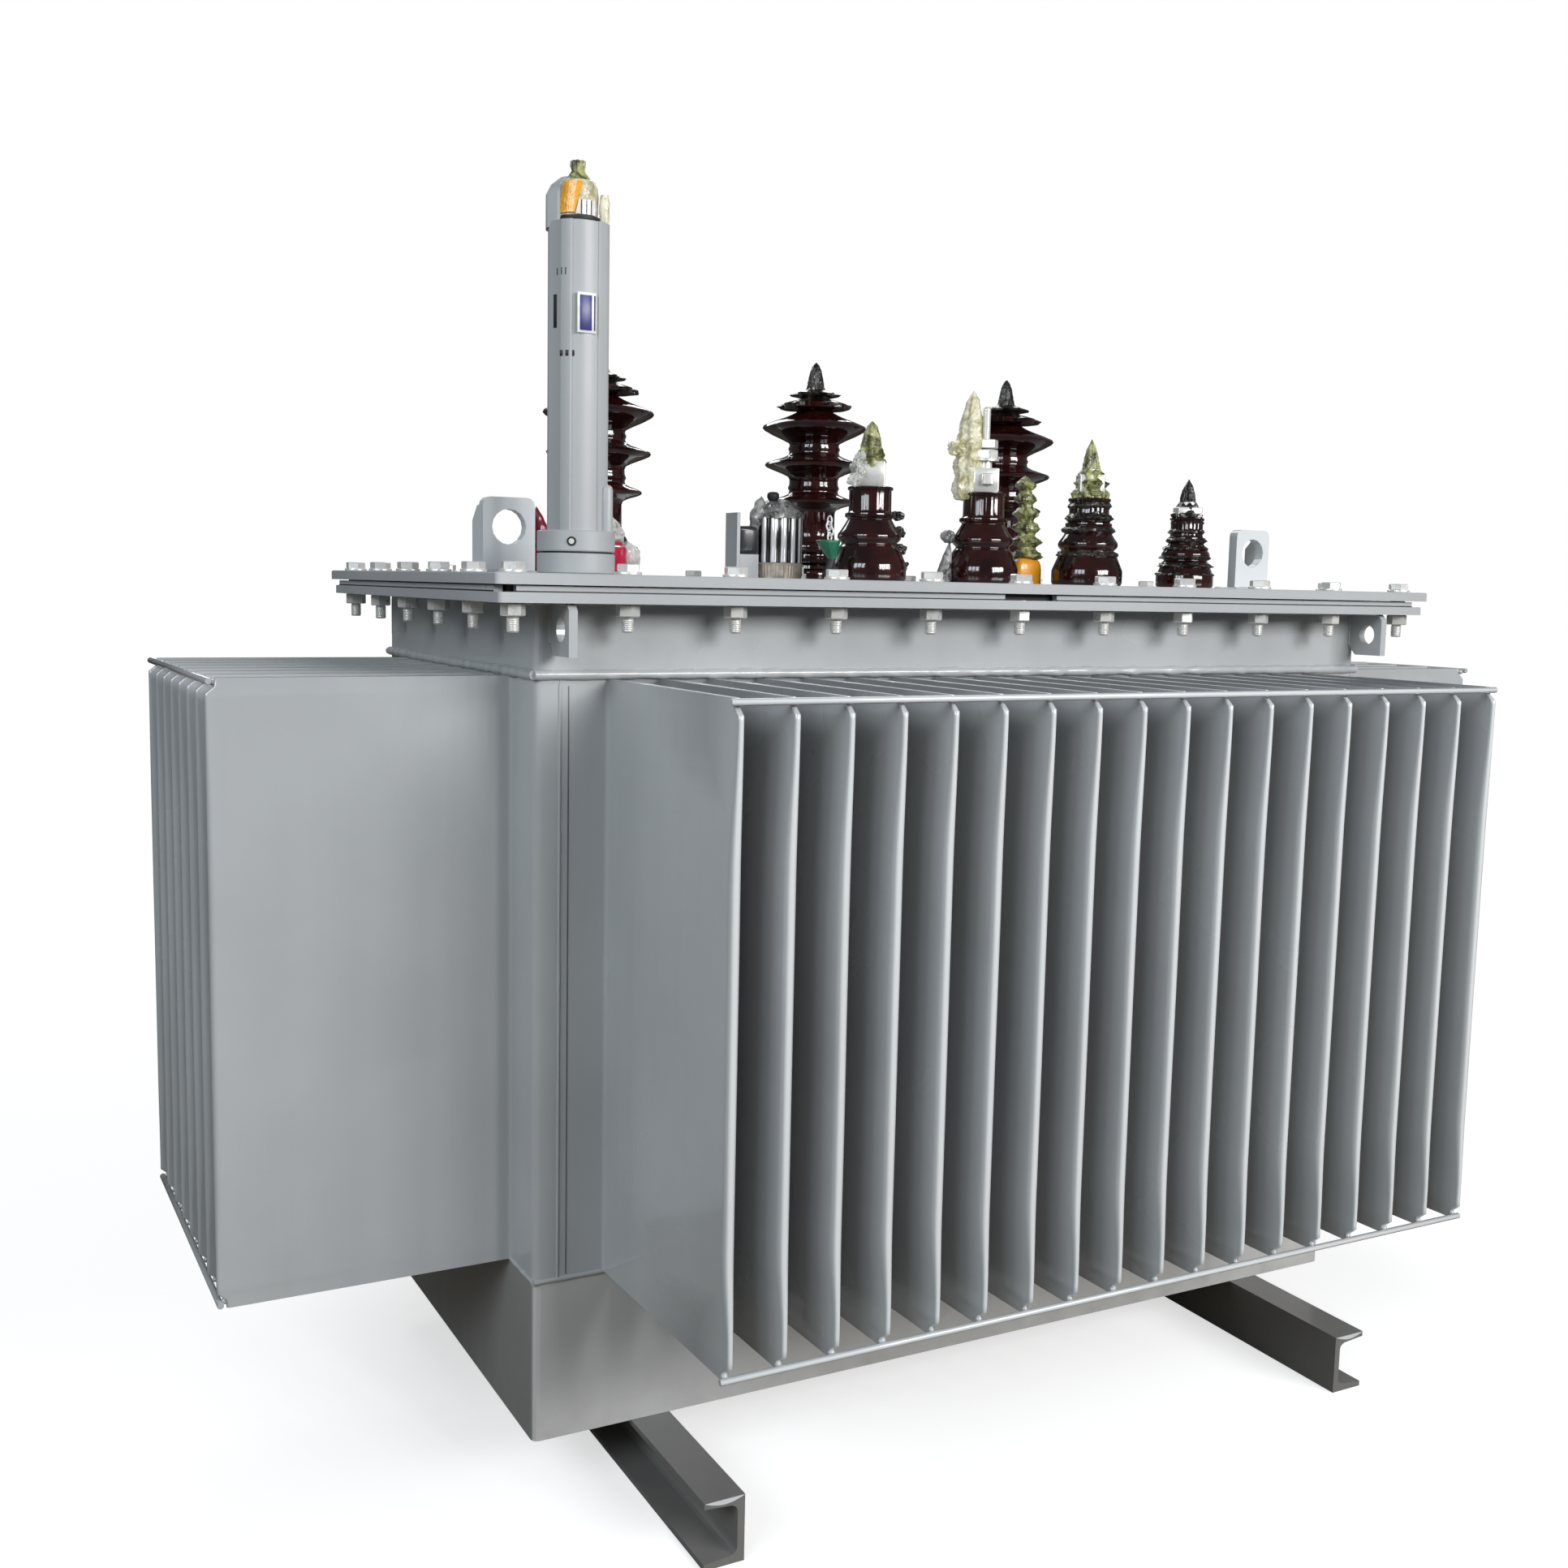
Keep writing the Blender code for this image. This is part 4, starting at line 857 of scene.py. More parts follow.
def scatter(tree, result, get, part, points, turn, scale=(1.0, 1.0, 1.0)):
    """End a tree: copies of a part on points, made real and given their finish."""
    shape = geometry_node(tree, "GeometryNodeObjectInfo", Object=get[part])
    placed = geometry_node(tree, "GeometryNodeInstanceOnPoints", Points=points,
                           Instance=shape.outputs["Geometry"], Rotation=turn, Scale=scale)
    real = geometry_node(tree, "GeometryNodeRealizeInstances", Geometry=placed.outputs[0])
    painted = geometry_node(tree, "GeometryNodeSetMaterial", Geometry=real.outputs[0],
        Material=get["Finish"])
    tree.links.new(painted.outputs[0], result.inputs[0])
    return tree


def grow(name, tree, values):
    """Run a geometry tree on an empty mesh, with inputs set by identifier, and return the plain mesh."""
    holder = bpy.data.objects.new(name, bpy.data.meshes.new(name))
    bpy.context.scene.collection.objects.link(holder)
    modifier = holder.modifiers.new("grow", 'NODES')
    modifier.node_group = tree
    for item in tree.interface.items_tree:
        if item.item_type == 'SOCKET' and item.in_out == 'INPUT' and item.name in values:
            modifier[item.identifier] = values[item.name]
    bpy.context.view_layer.update()
    seen = holder.evaluated_get(bpy.context.evaluated_depsgraph_get())
    mesh = bpy.data.meshes.new_from_object(seen)
    holder.modifiers.remove(modifier)
    bpy.data.objects.remove(holder, do_unlink=True)
    return mesh


def rim_bolt_tree():
    """Bolts round a rectangle: a grid of points with its inner ones dropped, each turned a little."""
    tree, source, result = node_group("rim_bolts", (
        ("Along", 'NodeSocketInt'), ("Across", 'NodeSocketInt'), ("Length", 'NodeSocketFloat'),
        ("Width", 'NodeSocketFloat'), ("Height", 'NodeSocketFloat'), ("Bolt", 'NodeSocketObject'),
        ("Seed", 'NodeSocketInt'), ("Finish", 'NodeSocketMaterial')))
    get = source.outputs
    grid = geometry_node(tree, "GeometryNodeMeshGrid", Size_X=get["Length"], Size_Y=get["Width"],
                         Vertices_X=get["Along"], Vertices_Y=get["Across"])
    spot = geometry_node(tree, "GeometryNodeInputPosition")
    split = geometry_node(tree, "ShaderNodeSeparateXYZ", Vector=spot.outputs[0])
    inner = []
    for axis, span in (("X", "Length"), ("Y", "Width")):
        reach = number(tree, 'ABSOLUTE', split.outputs[axis])
        edge = number(tree, 'MULTIPLY', get[span], 0.499)
        inner.append(number(tree, 'LESS_THAN', reach, edge))
    rim = geometry_node(tree, "GeometryNodeDeleteGeometry", {"domain": 'POINT'},
                        Geometry=grid.outputs["Mesh"],
                        Selection=number(tree, 'MULTIPLY', *inner))
    lift = geometry_node(tree, "ShaderNodeCombineXYZ", Z=get["Height"])
    raised = geometry_node(tree, "GeometryNodeSetPosition", Geometry=rim.outputs[0], Offset=lift.outputs[0])
    chance = geometry_node(tree, "FunctionNodeRandomValue", {"data_type": 'FLOAT'}, Seed=get["Seed"])
    turned = geometry_node(tree, "ShaderNodeCombineXYZ",
        Z=number(tree, 'MULTIPLY', chance.outputs[1], TURN))
    return scatter(tree, result, get, "Bolt", raised.outputs[0], turned.outputs[0])


def row_tree():
    """Copies of a small shape along a straight row, each turned and scaled a little by chance."""
    tree, source, result = node_group("weld_dot_row", (
        ("Count", 'NodeSocketInt'), ("Start", 'NodeSocketVector'), ("Step", 'NodeSocketVector'),
        ("Dot", 'NodeSocketObject'), ("Seed", 'NodeSocketInt'), ("Finish", 'NodeSocketMaterial')))
    get = source.outputs
    line = geometry_node(tree, "GeometryNodeMeshLine", Count=get["Count"], Start_Location=get["Start"],
                         Offset=get["Step"])
    chance = geometry_node(tree, "FunctionNodeRandomValue", {"data_type": 'FLOAT_VECTOR'}, Seed=get["Seed"])
    chance.inputs[0].default_value = (0.0, 0.0, 0.0)
    chance.inputs[1].default_value = (TURN, TURN, TURN)
    grown = geometry_node(tree, "FunctionNodeRandomValue", {"data_type": 'FLOAT'}, Seed=get["Seed"])
    grown.inputs[2].default_value = 0.8
    grown.inputs[3].default_value = 1.25
    return scatter(tree, result, get, "Dot", line.outputs["Mesh"], chance.outputs[0], grown.outputs[1])


def template(name, shape):
    """A shape at the origin for a geometry tree to copy."""
    bmesh.ops.recalc_face_normals(shape.cells, faces=shape.cells.faces[:])
    mesh = bpy.data.meshes.new(name)
    shape.cells.to_mesh(mesh)
    shape.cells.free()
    made = bpy.data.objects.new(name, mesh)
    bpy.context.scene.collection.objects.link(made)
    return made


class TRANSFORMER_OT_rim_bolts(bpy.types.Operator):
    """Bolt the lid down: heads and washers on the lid, nuts, shanks and thread ends under the flange"""
    bl_idname = "transformer.rim_bolts"
    bl_label = "Rim bolts"

    def execute(self, context):
        size = sizes()
        shape = Shape()
        flats = size.bolt_flats
        washer, head, nut_height, thread, shank = 0.0025, 0.0070, 0.0116, 0.0056, 0.0075
        shape.turned([(0.0, 0.0), (flats * 0.62, 0.0), (flats * 0.64, 0.0006),
                      (flats * 0.64, washer - 0.0006),
                      (flats * 0.62, washer), (0.0, washer)], ORIGIN, 28)
        shape.prism(hexagon(flats), washer, washer + head, ORIGIN, edge=0.0008)
        grip = LID_TOP - FLANGE_BOTTOM
        nut = -grip - nut_height
        shape.prism(hexagon(flats), nut, -grip - 0.0002, ORIGIN, turn=0.4, edge=0.0009)
        shape.turned(thread_profile(thread, nut - size.thread_end, nut + 0.0005), ORIGIN, 18)
        low, high = -grip + 0.0004, -0.0004
        shape.turned([(0.0, low), (shank, low), (shank, high), (0.0, high)], ORIGIN, 18)
        bolt = template("rim_bolt", shape)
        mesh = grow("lid_bolts", rim_bolt_tree(), {
            "Along": size.bolts_along, "Across": size.bolts_across,
            "Length": 2 * (TANK_HALF_X + size.bolt_line), "Width": 2 * (TANK_HALF_Y + size.bolt_line),
            "Height": LID_TOP, "Bolt": bolt, "Seed": 7, "Finish": Shelf.take("zinc")})
        bpy.data.objects.remove(bolt, do_unlink=True)
        settle("lid_bolts", mesh, "zinc", fold=35.0)
        return {'FINISHED'}


class TRANSFORMER_OT_weld_beads(bpy.types.Operator):
    """Lay the weld beads of the tank and the weld dots of the fin rods"""
    bl_idname = "transformer.weld_beads"
    bl_label = "Weld beads"

    def execute(self, context):
        self.lay_beads()
        self.lay_dots()
        self.stop_bar_shadow_lines()
        self.lap_shadow_lines()
        self.foot_end_highlights()
        return {'FINISHED'}

    def stop_bar_shadow_lines(self):
        """Painted shadow: a dark strip where each stop bar meets the flange, for the shade in the gap there,
        just proud of the bar's face.
        """
        side_x, side_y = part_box("rim_flange")[1][:2]
        corner, middle, face, back, thick = 0.016, 0.0315, 0.0006, 0.003, 0.0009
        shape = Shape()

        def line(x0, y0, x1, y1):
            shape.prism([(x0, y0), (x1, y0), (x1, y1), (x0, y1)], FLANGE_TOP - 0.0003, FLANGE_TOP + thick,
                ORIGIN)
        for sign in (-1, 1):
            near, far = sorted((sign * (side_y - face), sign * (side_y - back)))
            for x0, x1 in ((-side_x + corner, -middle), (middle, side_x - corner)):
                line(x0, near, x1, far)
            near, far = sorted((sign * (side_x - face), sign * (side_x - back)))
            line(near, -side_y + corner, far, side_y - corner)
        shape.finish("stop_bar_joint_line", "shadow", "black_rubber", fold=35.0)

    def lap_shadow_lines(self):
        """Painted shadow beside the corner laps: grey strips for the shade of the step where the end sheets
        reach round to the long walls.
        """
        shape = Shape()
        for sx in (-1, 1):
            near, far = sorted((sx * (TANK_HALF_X - 0.0312), sx * (TANK_HALF_X - 0.0321)))
            for sy in (-1, 1):
                face, back = sorted((sy * (TANK_HALF_Y + 0.0004), sy * (TANK_HALF_Y - 0.0010)))
                shape.prism([(near, face), (far, face), (far, back), (near, back)],
                            WALL_BOTTOM + 0.004, WALL_TOP - 0.006, ORIGIN)
        shape.finish("corner_lap_lines", "seam", "grey_enamel", fold=35.0)

    def foot_end_highlights(self):
        """Painted highlight: a pale arched strip on each end of the feet's top flanges, for the light along
        the flange's curved lip.
        """
        shape = Shape()
        count, inset, sag, proud = 12, 0.0006, 0.0042, 0.0005
        for node in FEET:
            low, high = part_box(node)
            left, right, top = low[0] + inset, high[0] - inset, high[2]
            edge = [(left + (right - left) * k / count, top - inset - sag * math.sin(math.pi * k / count))
                    for k in range(1, count)]
            edge += [(right, top - 0.0004), (left, top - 0.0004)]
            for y, out in ((low[1], -proud), (high[1], proud)):
                shape.loft([[Vector((x, level, z)) for x, z in edge] for level in (y, y + out)])
        shape.finish("foot_sawn_ends", "lug_enamel", "grey_enamel", fold=35.0)

    def lay_beads(self):
        """Beads round the tank, down its corner laps, and at the lugs and corner plates."""
        radius = sizes().weld_radius
        shape = Shape()
        hx, hy = TANK_HALF_X, TANK_HALF_Y
        for z, reach, thick in ((FLANGE_BOTTOM, 0.0008, 0.8), (WALL_BOTTOM, -0.0004, 0.8),
                                (WALL_TOP + 0.0042, 0.0012, 1.45)):
            x, y = hx + reach, hy + reach
            run = [(-x, -y, z), (x, -y, z), (x, y, z), (-x, y, z)]
            for i in range(4):
                shape.bead([run[i], run[(i + 1) % 4]], radius * thick, i + z)
        for sx in (-1, 1):
            for sy in (-1, 1):
                edge = sx * (hx - 0.0233)
                shape.bead([(edge, sy * hy, WALL_BOTTOM + 0.002), (edge, sy * hy, WALL_TOP - 0.004)],
                           radius * 0.45, sx + 2 * sy)
        for node in LUGS:
            low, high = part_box(node)
            left, right = (low[0], low[1], LID_TOP), (high[0], low[1], LID_TOP)
            shape.bead([left, right], radius * 0.9, low[0])
            shape.bead([left, (low[0], high[1], LID_TOP)], radius * 0.9, high[0])
            shape.bead([right, (high[0], high[1], LID_TOP)], radius * 0.9, 3.0 + high[0])
        for node in CORNER_PLATES:
            low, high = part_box(node)
            side = -1 if low[1] < 0 else 1
            root = side * hy
            end = high[1] - 0.008 if side > 0 else low[1] + 0.008
            for x in (low[0], high[0]):
                shape.bead([(x, root, low[2] + 0.011), (x, root, high[2])], radius * 0.55, x)
                shape.bead([(x, root, high[2]), (x, end, high[2])], radius * 0.5, x + 1.0)
        shape.finish("tank_weld_beads", "enamel", "grey_enamel", fold=60.0)

    def lay_dots(self):
        """A weld dot where each fin meets its rods."""
        shape = Shape()
        bmesh.ops.create_icosphere(shape.cells, subdivisions=2, radius=0.0030)
        for vert in shape.cells.verts:
            vert.co *= 1.0 + 0.25 * noise.noise(vert.co * 400.0)
        dot = template("weld_dot", shape)
        pitch = sizes().fin_pitch
        tree = row_tree()
        gathered = bmesh.new()
        for index, (node, returns, turn, way) in enumerate(WALLS):
            length, depth, at = wall_facts(node, returns, way)
            places = fin_places(length)
            spin = Matrix.Rotation(turn, 3, 'Z')
            for z in (WALL_BOTTOM + 0.0052, WALL_TOP - 0.0042):
                start = Vector((at[0], at[1], z)) + spin @ Vector((places[0], -depth + 0.0075, 0.0))
                mesh = grow("row", tree, {
                    "Count": len(places), "Start": start, "Step": spin @ Vector((pitch, 0.0, 0.0)),
                    "Dot": dot,
                    "Seed": index * 2 + int(z > 0.5), "Finish": Shelf.take("fin_enamel")})
                gathered.from_mesh(mesh)
                bpy.data.meshes.remove(mesh)
        bpy.data.objects.remove(dot, do_unlink=True)
        mesh = bpy.data.meshes.new("rod_weld_dots")
        gathered.to_mesh(mesh)
        gathered.free()
        settle("rod_weld_dots", mesh, "fin_enamel", fold=60.0)


HV_PROFILE = mm((
    (0, 0.3), (33.5, 0.3), (34.5, 2), (34.5, 10.5), (33, 12.5), (28.5, 14), (27.6, 17.5), (30, 19.2),
    (32.8, 21.2), (32.2, 23.6), (27.5, 26.2), (27, 30.8), (30.5, 32.8), (32.8, 35.2), (32.8, 40.8),
    (31.2, 44), (26.8, 48), (26.2, 56), (26, 80), (27.5, 83.8), (34, 86.8), (44, 89.8), (47.6, 91.5),
    (48.6, 93.2), (47.8, 94.8), (44, 96.8), (35, 100), (30, 102.5), (29.2, 106), (30.8, 109.5),
    (29.2, 113.5), (29, 119), (30.5, 122.5), (38, 126.2), (50, 130.8), (56.6, 133.6), (58.6, 136),
    (57.2, 138.4), (50, 140.8), (37, 145), (30.5, 148.5), (29.6, 152), (31, 155.5), (29.4, 159), (30, 162),
    (38, 166.2), (50, 171.6), (59.6, 176.8), (62, 179.6), (60.8, 182.2), (50, 186.8), (36, 192),
    (28.5, 195.2), (22.2, 198.5), (21.6, 201.4), (37, 202.5), (37.4, 208.6), (28.5, 211.2), (0, 211.9)))


def shed_outline(seed):
    """Slight unevenness of a glazed turned form."""
    def share(angle, height):
        return 1.0 + 0.006 * math.sin(3 * angle + seed + 30.0 * height)
    return share


class TRANSFORMER_OT_high_voltage_bushings(bpy.types.Operator):
    """Turn the three shedded high-voltage porcelains and wrap their terminals in dark film"""
    bl_idname = "transformer.high_voltage_bushings"
    bl_label = "High-voltage bushings"

    def execute(self, context):
        for seed, phase in enumerate(("left", "middle", "right")):
            name = "hv_" + phase
            at = seat(name + "_porcelain")
            shape = Shape()
            shape.turned(HV_PROFILE, at, 72, shed_outline(seed))
            shape.finish(name + "_glazed", "porcelain", "brown_porcelain", (name + "_porcelain",),
                fold=55.0)
            self.cover(name, at, seed)
            self.clamp(name, at)
        return {'FINISHED'}

    def cover(self, name, at, seed):
        """Black film tied over the terminal: two rows of petals under a pointed twist."""
        def petals(angle, height):
            lobes = 0.16 * math.cos(5 * angle + seed) + 0.07 * math.cos(9 * angle - 2.0 * seed)
            spot = Vector((3.0 * math.cos(angle), 3.0 * math.sin(angle), 400.0 * height + seed))
            crease = 0.10 * noise.noise(spot)
            return 1.0 + (lobes if height < 0.226 else 0.5 * lobes) + crease - 0.10
        shape = Shape()
        shape.turned(even_steps(mm((
            (0, 200), (29, 200.8), (40, 203), (42.5, 206.2), (40, 208), (29, 211.8), (18, 213.5),
            (16, 215.2), (27, 217.8), (29, 220), (20, 222.8), (12, 225), (10, 232), (8.6, 240), (7, 247),
            (4.2, 253.5), (1.2, 256.8), (0, 257.1))), 0.0022), at, 60, petals)
        shape.finish(name + "_film", "film_black", "black_rubber", (name + "_terminal",), fold=35.0)

    def clamp(self, name, at):
        """Four studs with washers and nuts that hold the porcelain down."""
        shape = Shape()
        for k in range(4):
            angle = TURN * (k + 0.5) / 4
            spot = at + Vector((0.043 * math.cos(angle), 0.043 * math.sin(angle), 0.0))
            shape.turned([(0.0, 0.0), (0.0065, 0.0), (0.0065, 0.0016), (0.0, 0.0016)], spot, 20)
            shape.prism(hexagon(0.010), 0.0016, 0.0076, spot, turn=0.3 * k, edge=0.0005)
            shape.turned(thread_profile(0.0029, 0.0070, 0.0150, pitch=0.001, cut=0.0003), spot, 12)
        shape.finish(name + "_clamp_studs", "zinc", "bright_zinc", fold=35.0)


LV_PROFILE = (
    (0.0, 0.0), (0.955, 0.0), (0.995, 0.03), (1.0, 0.06), (1.0, 0.165), (0.985, 0.185), (0.84, 0.325),
    (0.80, 0.355), (0.765, 0.372), (0.735, 0.385), (0.735, 0.402), (0.80, 0.425), (0.835, 0.445),
    (0.845, 0.470), (0.825, 0.497), (0.745, 0.540), (0.640, 0.610), (0.585, 0.650), (0.600, 0.665),
    (0.650, 0.675), (0.660, 0.695), (0.650, 0.712), (0.580, 0.722), (0.565, 0.745), (0.560, 0.955),
    (0.600, 0.965), (0.600, 0.990), (0.560, 0.998), (0.0, 1.0))


def fluted(top):
    """Shallow upright flutes in the neck of a porcelain, from a height upward."""
    def share(angle, height):
        return 1.0 - (0.022 * (1.0 + math.cos(16 * angle)) if height > top else 0.0)
    return share


class TRANSFORMER_OT_low_voltage_bushings(bpy.types.Operator):
    """Turn the four low-voltage porcelains and fit their studs, nuts and clamp blocks"""
    bl_idname = "transformer.low_voltage_bushings"
    bl_label = "Low-voltage bushings"

    def execute(self, context):
        for index in range(4):
            name = "lv_%d" % (index + 1)
            at = seat(name + "_porcelain")
            radius = radius_of(name + "_porcelain")
            height = top_of(name + "_porcelain")
            shape = Shape()
            shape.turned([(radius * r, 0.0003 + (height - 0.0003) * z) for r, z in LV_PROFILE], at, 64,
                         fluted(height * 0.735))
            shape.finish(name + "_glazed", "porcelain", "brown_porcelain", (name + "_porcelain",),
                fold=50.0)
            self.terminal(name, at, height, top_of(name + "_terminal"), index)
        return {'FINISHED'}

    def terminal(self, name, at, height, tip, index):
        """Clamp block, two nuts and the threaded stud; the films hide all of it but the second one's."""
        shape = Shape()
        block = 0.026 if index < 3 else 0.012
        shape.prism(box_outline(0.029, 0.024, 0.002), height + 0.0004, height + block, at, turn=-0.45,
            edge=0.0008)
        if index == 1:
            shape.prism(box_outline(0.012, 0.032, 0.002), height + 0.008, height + 0.020,
                        at + Vector((0.0, -0.003, 0.0)), turn=-0.45, edge=0.0008)
            shape.turned([(0.0, height + 0.026), (0.0075, height + 0.026), (0.0075, height + 0.034),
                          (0.015, height + 0.034), (0.015, height + 0.036), (0.0, height + 0.036)], at, 32)
            shape.prism(hexagon(0.024), height + 0.036, height + 0.046, at, turn=0.2, edge=0.001)
            shape.prism(hexagon(0.024), height + 0.0475, height + 0.057, at, turn=0.7, edge=0.001)
            thread = thread_profile(0.0046, -0.036, 0.0)
            shape.turned([(r, height + 0.056 - z) for r, z in reversed(thread)], at, 20)
        else:
            shape.turned([(0.0, height + block), (0.010, height + block), (0.010, height + block + 0.006),
                          (0.005, height + block + 0.007), (0.005, tip - 0.018), (0.0, tip - 0.017)], at,
                          32)
        shape.finish(name + "_stud_and_nuts", "zinc", "bright_zinc", (name + "_terminal",), fold=35.0)


class TRANSFORMER_OT_films(bpy.types.Operator):
    """Wrap the low-voltage terminals in crumpled protective film"""
    bl_idname = "transformer.films"
    bl_label = "Protective films"

    def execute(self, context):
        self.first()
        self.second()
        self.third_and_fourth()
        return {'FINISHED'}

    def axis(self, index):
        """Where a bushing stands, and the heights of its porcelain and of its terminal."""
        name = "lv_%d" % index
        return seat(name + "_porcelain"), top_of(name + "_porcelain"), top_of(name + "_terminal")

    def cone(self, shape, at, levels, seed, lean=(0.0, 0.0)):
        """Film drawn to a point over a stud, in pleats."""
        shape.crumpled(levels, at, seed, depth=0.13, grain=0.006, segments=60, rise=0.0016, lean=lean,
            pleats=7)

    def first(self):
        at, top, tip = self.axis(1)
        film = Shape()
        self.cone(film, at, mm(((0, 19), (12.5, 20), (15, 26), (11.8, 30), (13.8, 35), (10.8, 40),
            (9.8, 47), (8, 55), (5, 63)), top, tip - 0.001), 23.0)
        film.finish("lv_1_film", "film", "aged_brass", fold=30.0)
        clear = Shape()
        tufts = ((-0.0200, 0.020, 0.0085), (-0.0230, 0.006, 0.0075), (-0.0160, 0.030, 0.0055))
        for k, (x, z, radius) in enumerate(tufts):
            clear.lump(at + Vector((x, -0.006, top + z)), radius, 24.0 + k, depth=0.5, grain=0.007)
        clear.finish("lv_1_clear_film", "film_clear", "bright_chrome", fold=25.0)
        self.side_lumps("lv_1", at, ((0.034, 0.000, 0.070, 0.0060), (0.036, 0.000, 0.052, 0.0070),
                                     (0.0385, 0.002, 0.034, 0.0075), (0.040, 0.0, 0.016, 0.0075)), 31.0)

    def second(self):
        at, top, tip = self.axis(2)
        film = Shape()
        beside = at + Vector((-0.0200, 0.008, 0.0))
        self.cone(film, beside, mm(((0, -10), (11, -8), (15, 4), (12, 16), (15.5, 28), (12.5, 40), (15, 52),
            (11.8, 64), (12, 76), (8.5, 90), (6, 100)), top, tip - 0.001), 41.0,
            lean=(0.008, 0.0))
        film.lump(at + Vector((-0.0360, 0.004, top + 0.046)), 0.0085, 43.0, depth=0.5, grain=0.006)
        film.finish("lv_2_film", "film_straw", "aged_brass", fold=30.0)
        left = Shape()
        left.lump(at + Vector((-0.0430, 0.004, 0.050)), 0.0075, 61.0)
        left.crumpled([(0.0, 0.0005), (0.010, 0.001), (0.008, 0.012), (0.005, 0.030), (0.0, 0.046)],
                      at + Vector((-0.0480, 0.004, 0.0)), 62.0, lean=(0.008, 0.0))
        left.finish("lv_2_foot_film", "film_smoke", "black_rubber", fold=25.0)

    def third_and_fourth(self):
        at, top, tip = self.axis(3)
        film = Shape()
        self.cone(film, at, mm(((0, -1), (20, 0), (20.5, 6), (15, 11), (18.5, 17), (12.8, 22), (14, 27),
            (9.8, 32), (8.6, 39), (7, 47), (4.8, 56)), top, tip - 0.001), 71.0)
        film.finish("lv_3_film", "film", "aged_brass", fold=30.0)
        self.sleeve("lv_3", at, top * 0.30, 0.0345, top, 0.0245, 5, 73.0)
        at, top, tip = self.axis(4)
        dark = Shape()
        self.cone(dark, at, mm(((0, -1), (16.5, 0), (17, 4), (11, 9), (12.5, 13), (9, 18), (8, 26),
            (5.2, 36)), top, tip - 0.001), 81.0)
        dark.finish("lv_4_film", "film_black", "black_rubber", fold=30.0)
        self.sleeve("lv_4", at, 0.012, 0.0335, top, 0.0185, 7, 83.0)

    def sleeve(self, name, at, low, low_radius, top, top_radius, rims, seed):
        """Dark film drawn round the porcelain in uneven rims that narrow towards the neck."""
        profile = [(0.0, low - 0.002)]
        gap = (top - low) / rims
        for k in range(rims):
            z = low + gap * k
            reach = low_radius + (top_radius - low_radius) * (k / max(rims - 1, 1))
            profile += [(reach * 0.82, z), (reach * 1.02, z + gap * 0.30), (reach * 0.98, z + gap * 0.48),
                        (reach * 0.80, z + gap * 0.80)]
        profile.append((0.0, top + 0.001))
        shape = Shape()
        shape.crumpled(profile, at, seed, depth=0.11, grain=0.006, rise=0.0016, segments=68, pleats=0)
        shape.finish(name + "_sleeve_film", "film_black", "black_rubber", fold=30.0)

    def side_lumps(self, name, at, lumps, seed):
        """Loose balls of dark film down one side of a bushing."""
        shape = Shape()
        for k, (x, y, z, radius) in enumerate(lumps):
            shape.lump(at + Vector((x, y, z)), radius, seed + k, depth=0.5, grain=0.007,
                squash=(1.2, 1.0, 0.85))
        shape.finish(name + "_side_film", "film_black", "black_rubber", fold=25.0)


# Turn that points the gauge's front out over the corner of the lid
GAUGE_TURN = math.radians(-20.8)
GAUGE_SPIN = Matrix.Rotation(GAUGE_TURN, 3, 'Z')

GAUGE_TUBE = mm((
    (-26.2, -7), (-26.4, 3), (-25.2, 9.5), (-16, 19.2), (-15, 21.2), (-14.2, 22.2), (-6.2, 25.8),
    (-5, 25.6), (-4.2, 24), (1, 24.6), (7, 23.8), (13, 21.2), (18, 17.2), (18.8, 17.8), (19.8, 17.8),
    (26.2, 12.2), (28, 9), (28.4, 3), (27.6, -6), (23.6, -13), (16, -19), (6, -23.8), (-6, -24), (-16, -20),
    (-23.6, -13)))


def tube_front(across):
    """How far the gauge tube's front stands out at a place across it, and which way it faces there."""
    for (x0, y0), (x1, y1) in zip(GAUGE_TUBE[1:], GAUGE_TUBE[2:]):
        if x0 <= across <= x1:
            share = (across - x0) / (x1 - x0)
            return y0 + (y1 - y0) * share, math.atan2(y0 - y1, x1 - x0)
    raise ValueError("no tube front at %.4f" % across)


def sector(start, end, inner, outer, steps=8):
    """Plan outline of a curved strip; angles run to the right from straight ahead."""
    angles = [math.radians(start + (end - start) * k / steps) for k in range(steps + 1)]
    front = [(outer * math.sin(a), -outer * math.cos(a)) for a in angles]
    back = [(inner * math.sin(a), -inner * math.cos(a)) for a in reversed(angles)]
    return front + back


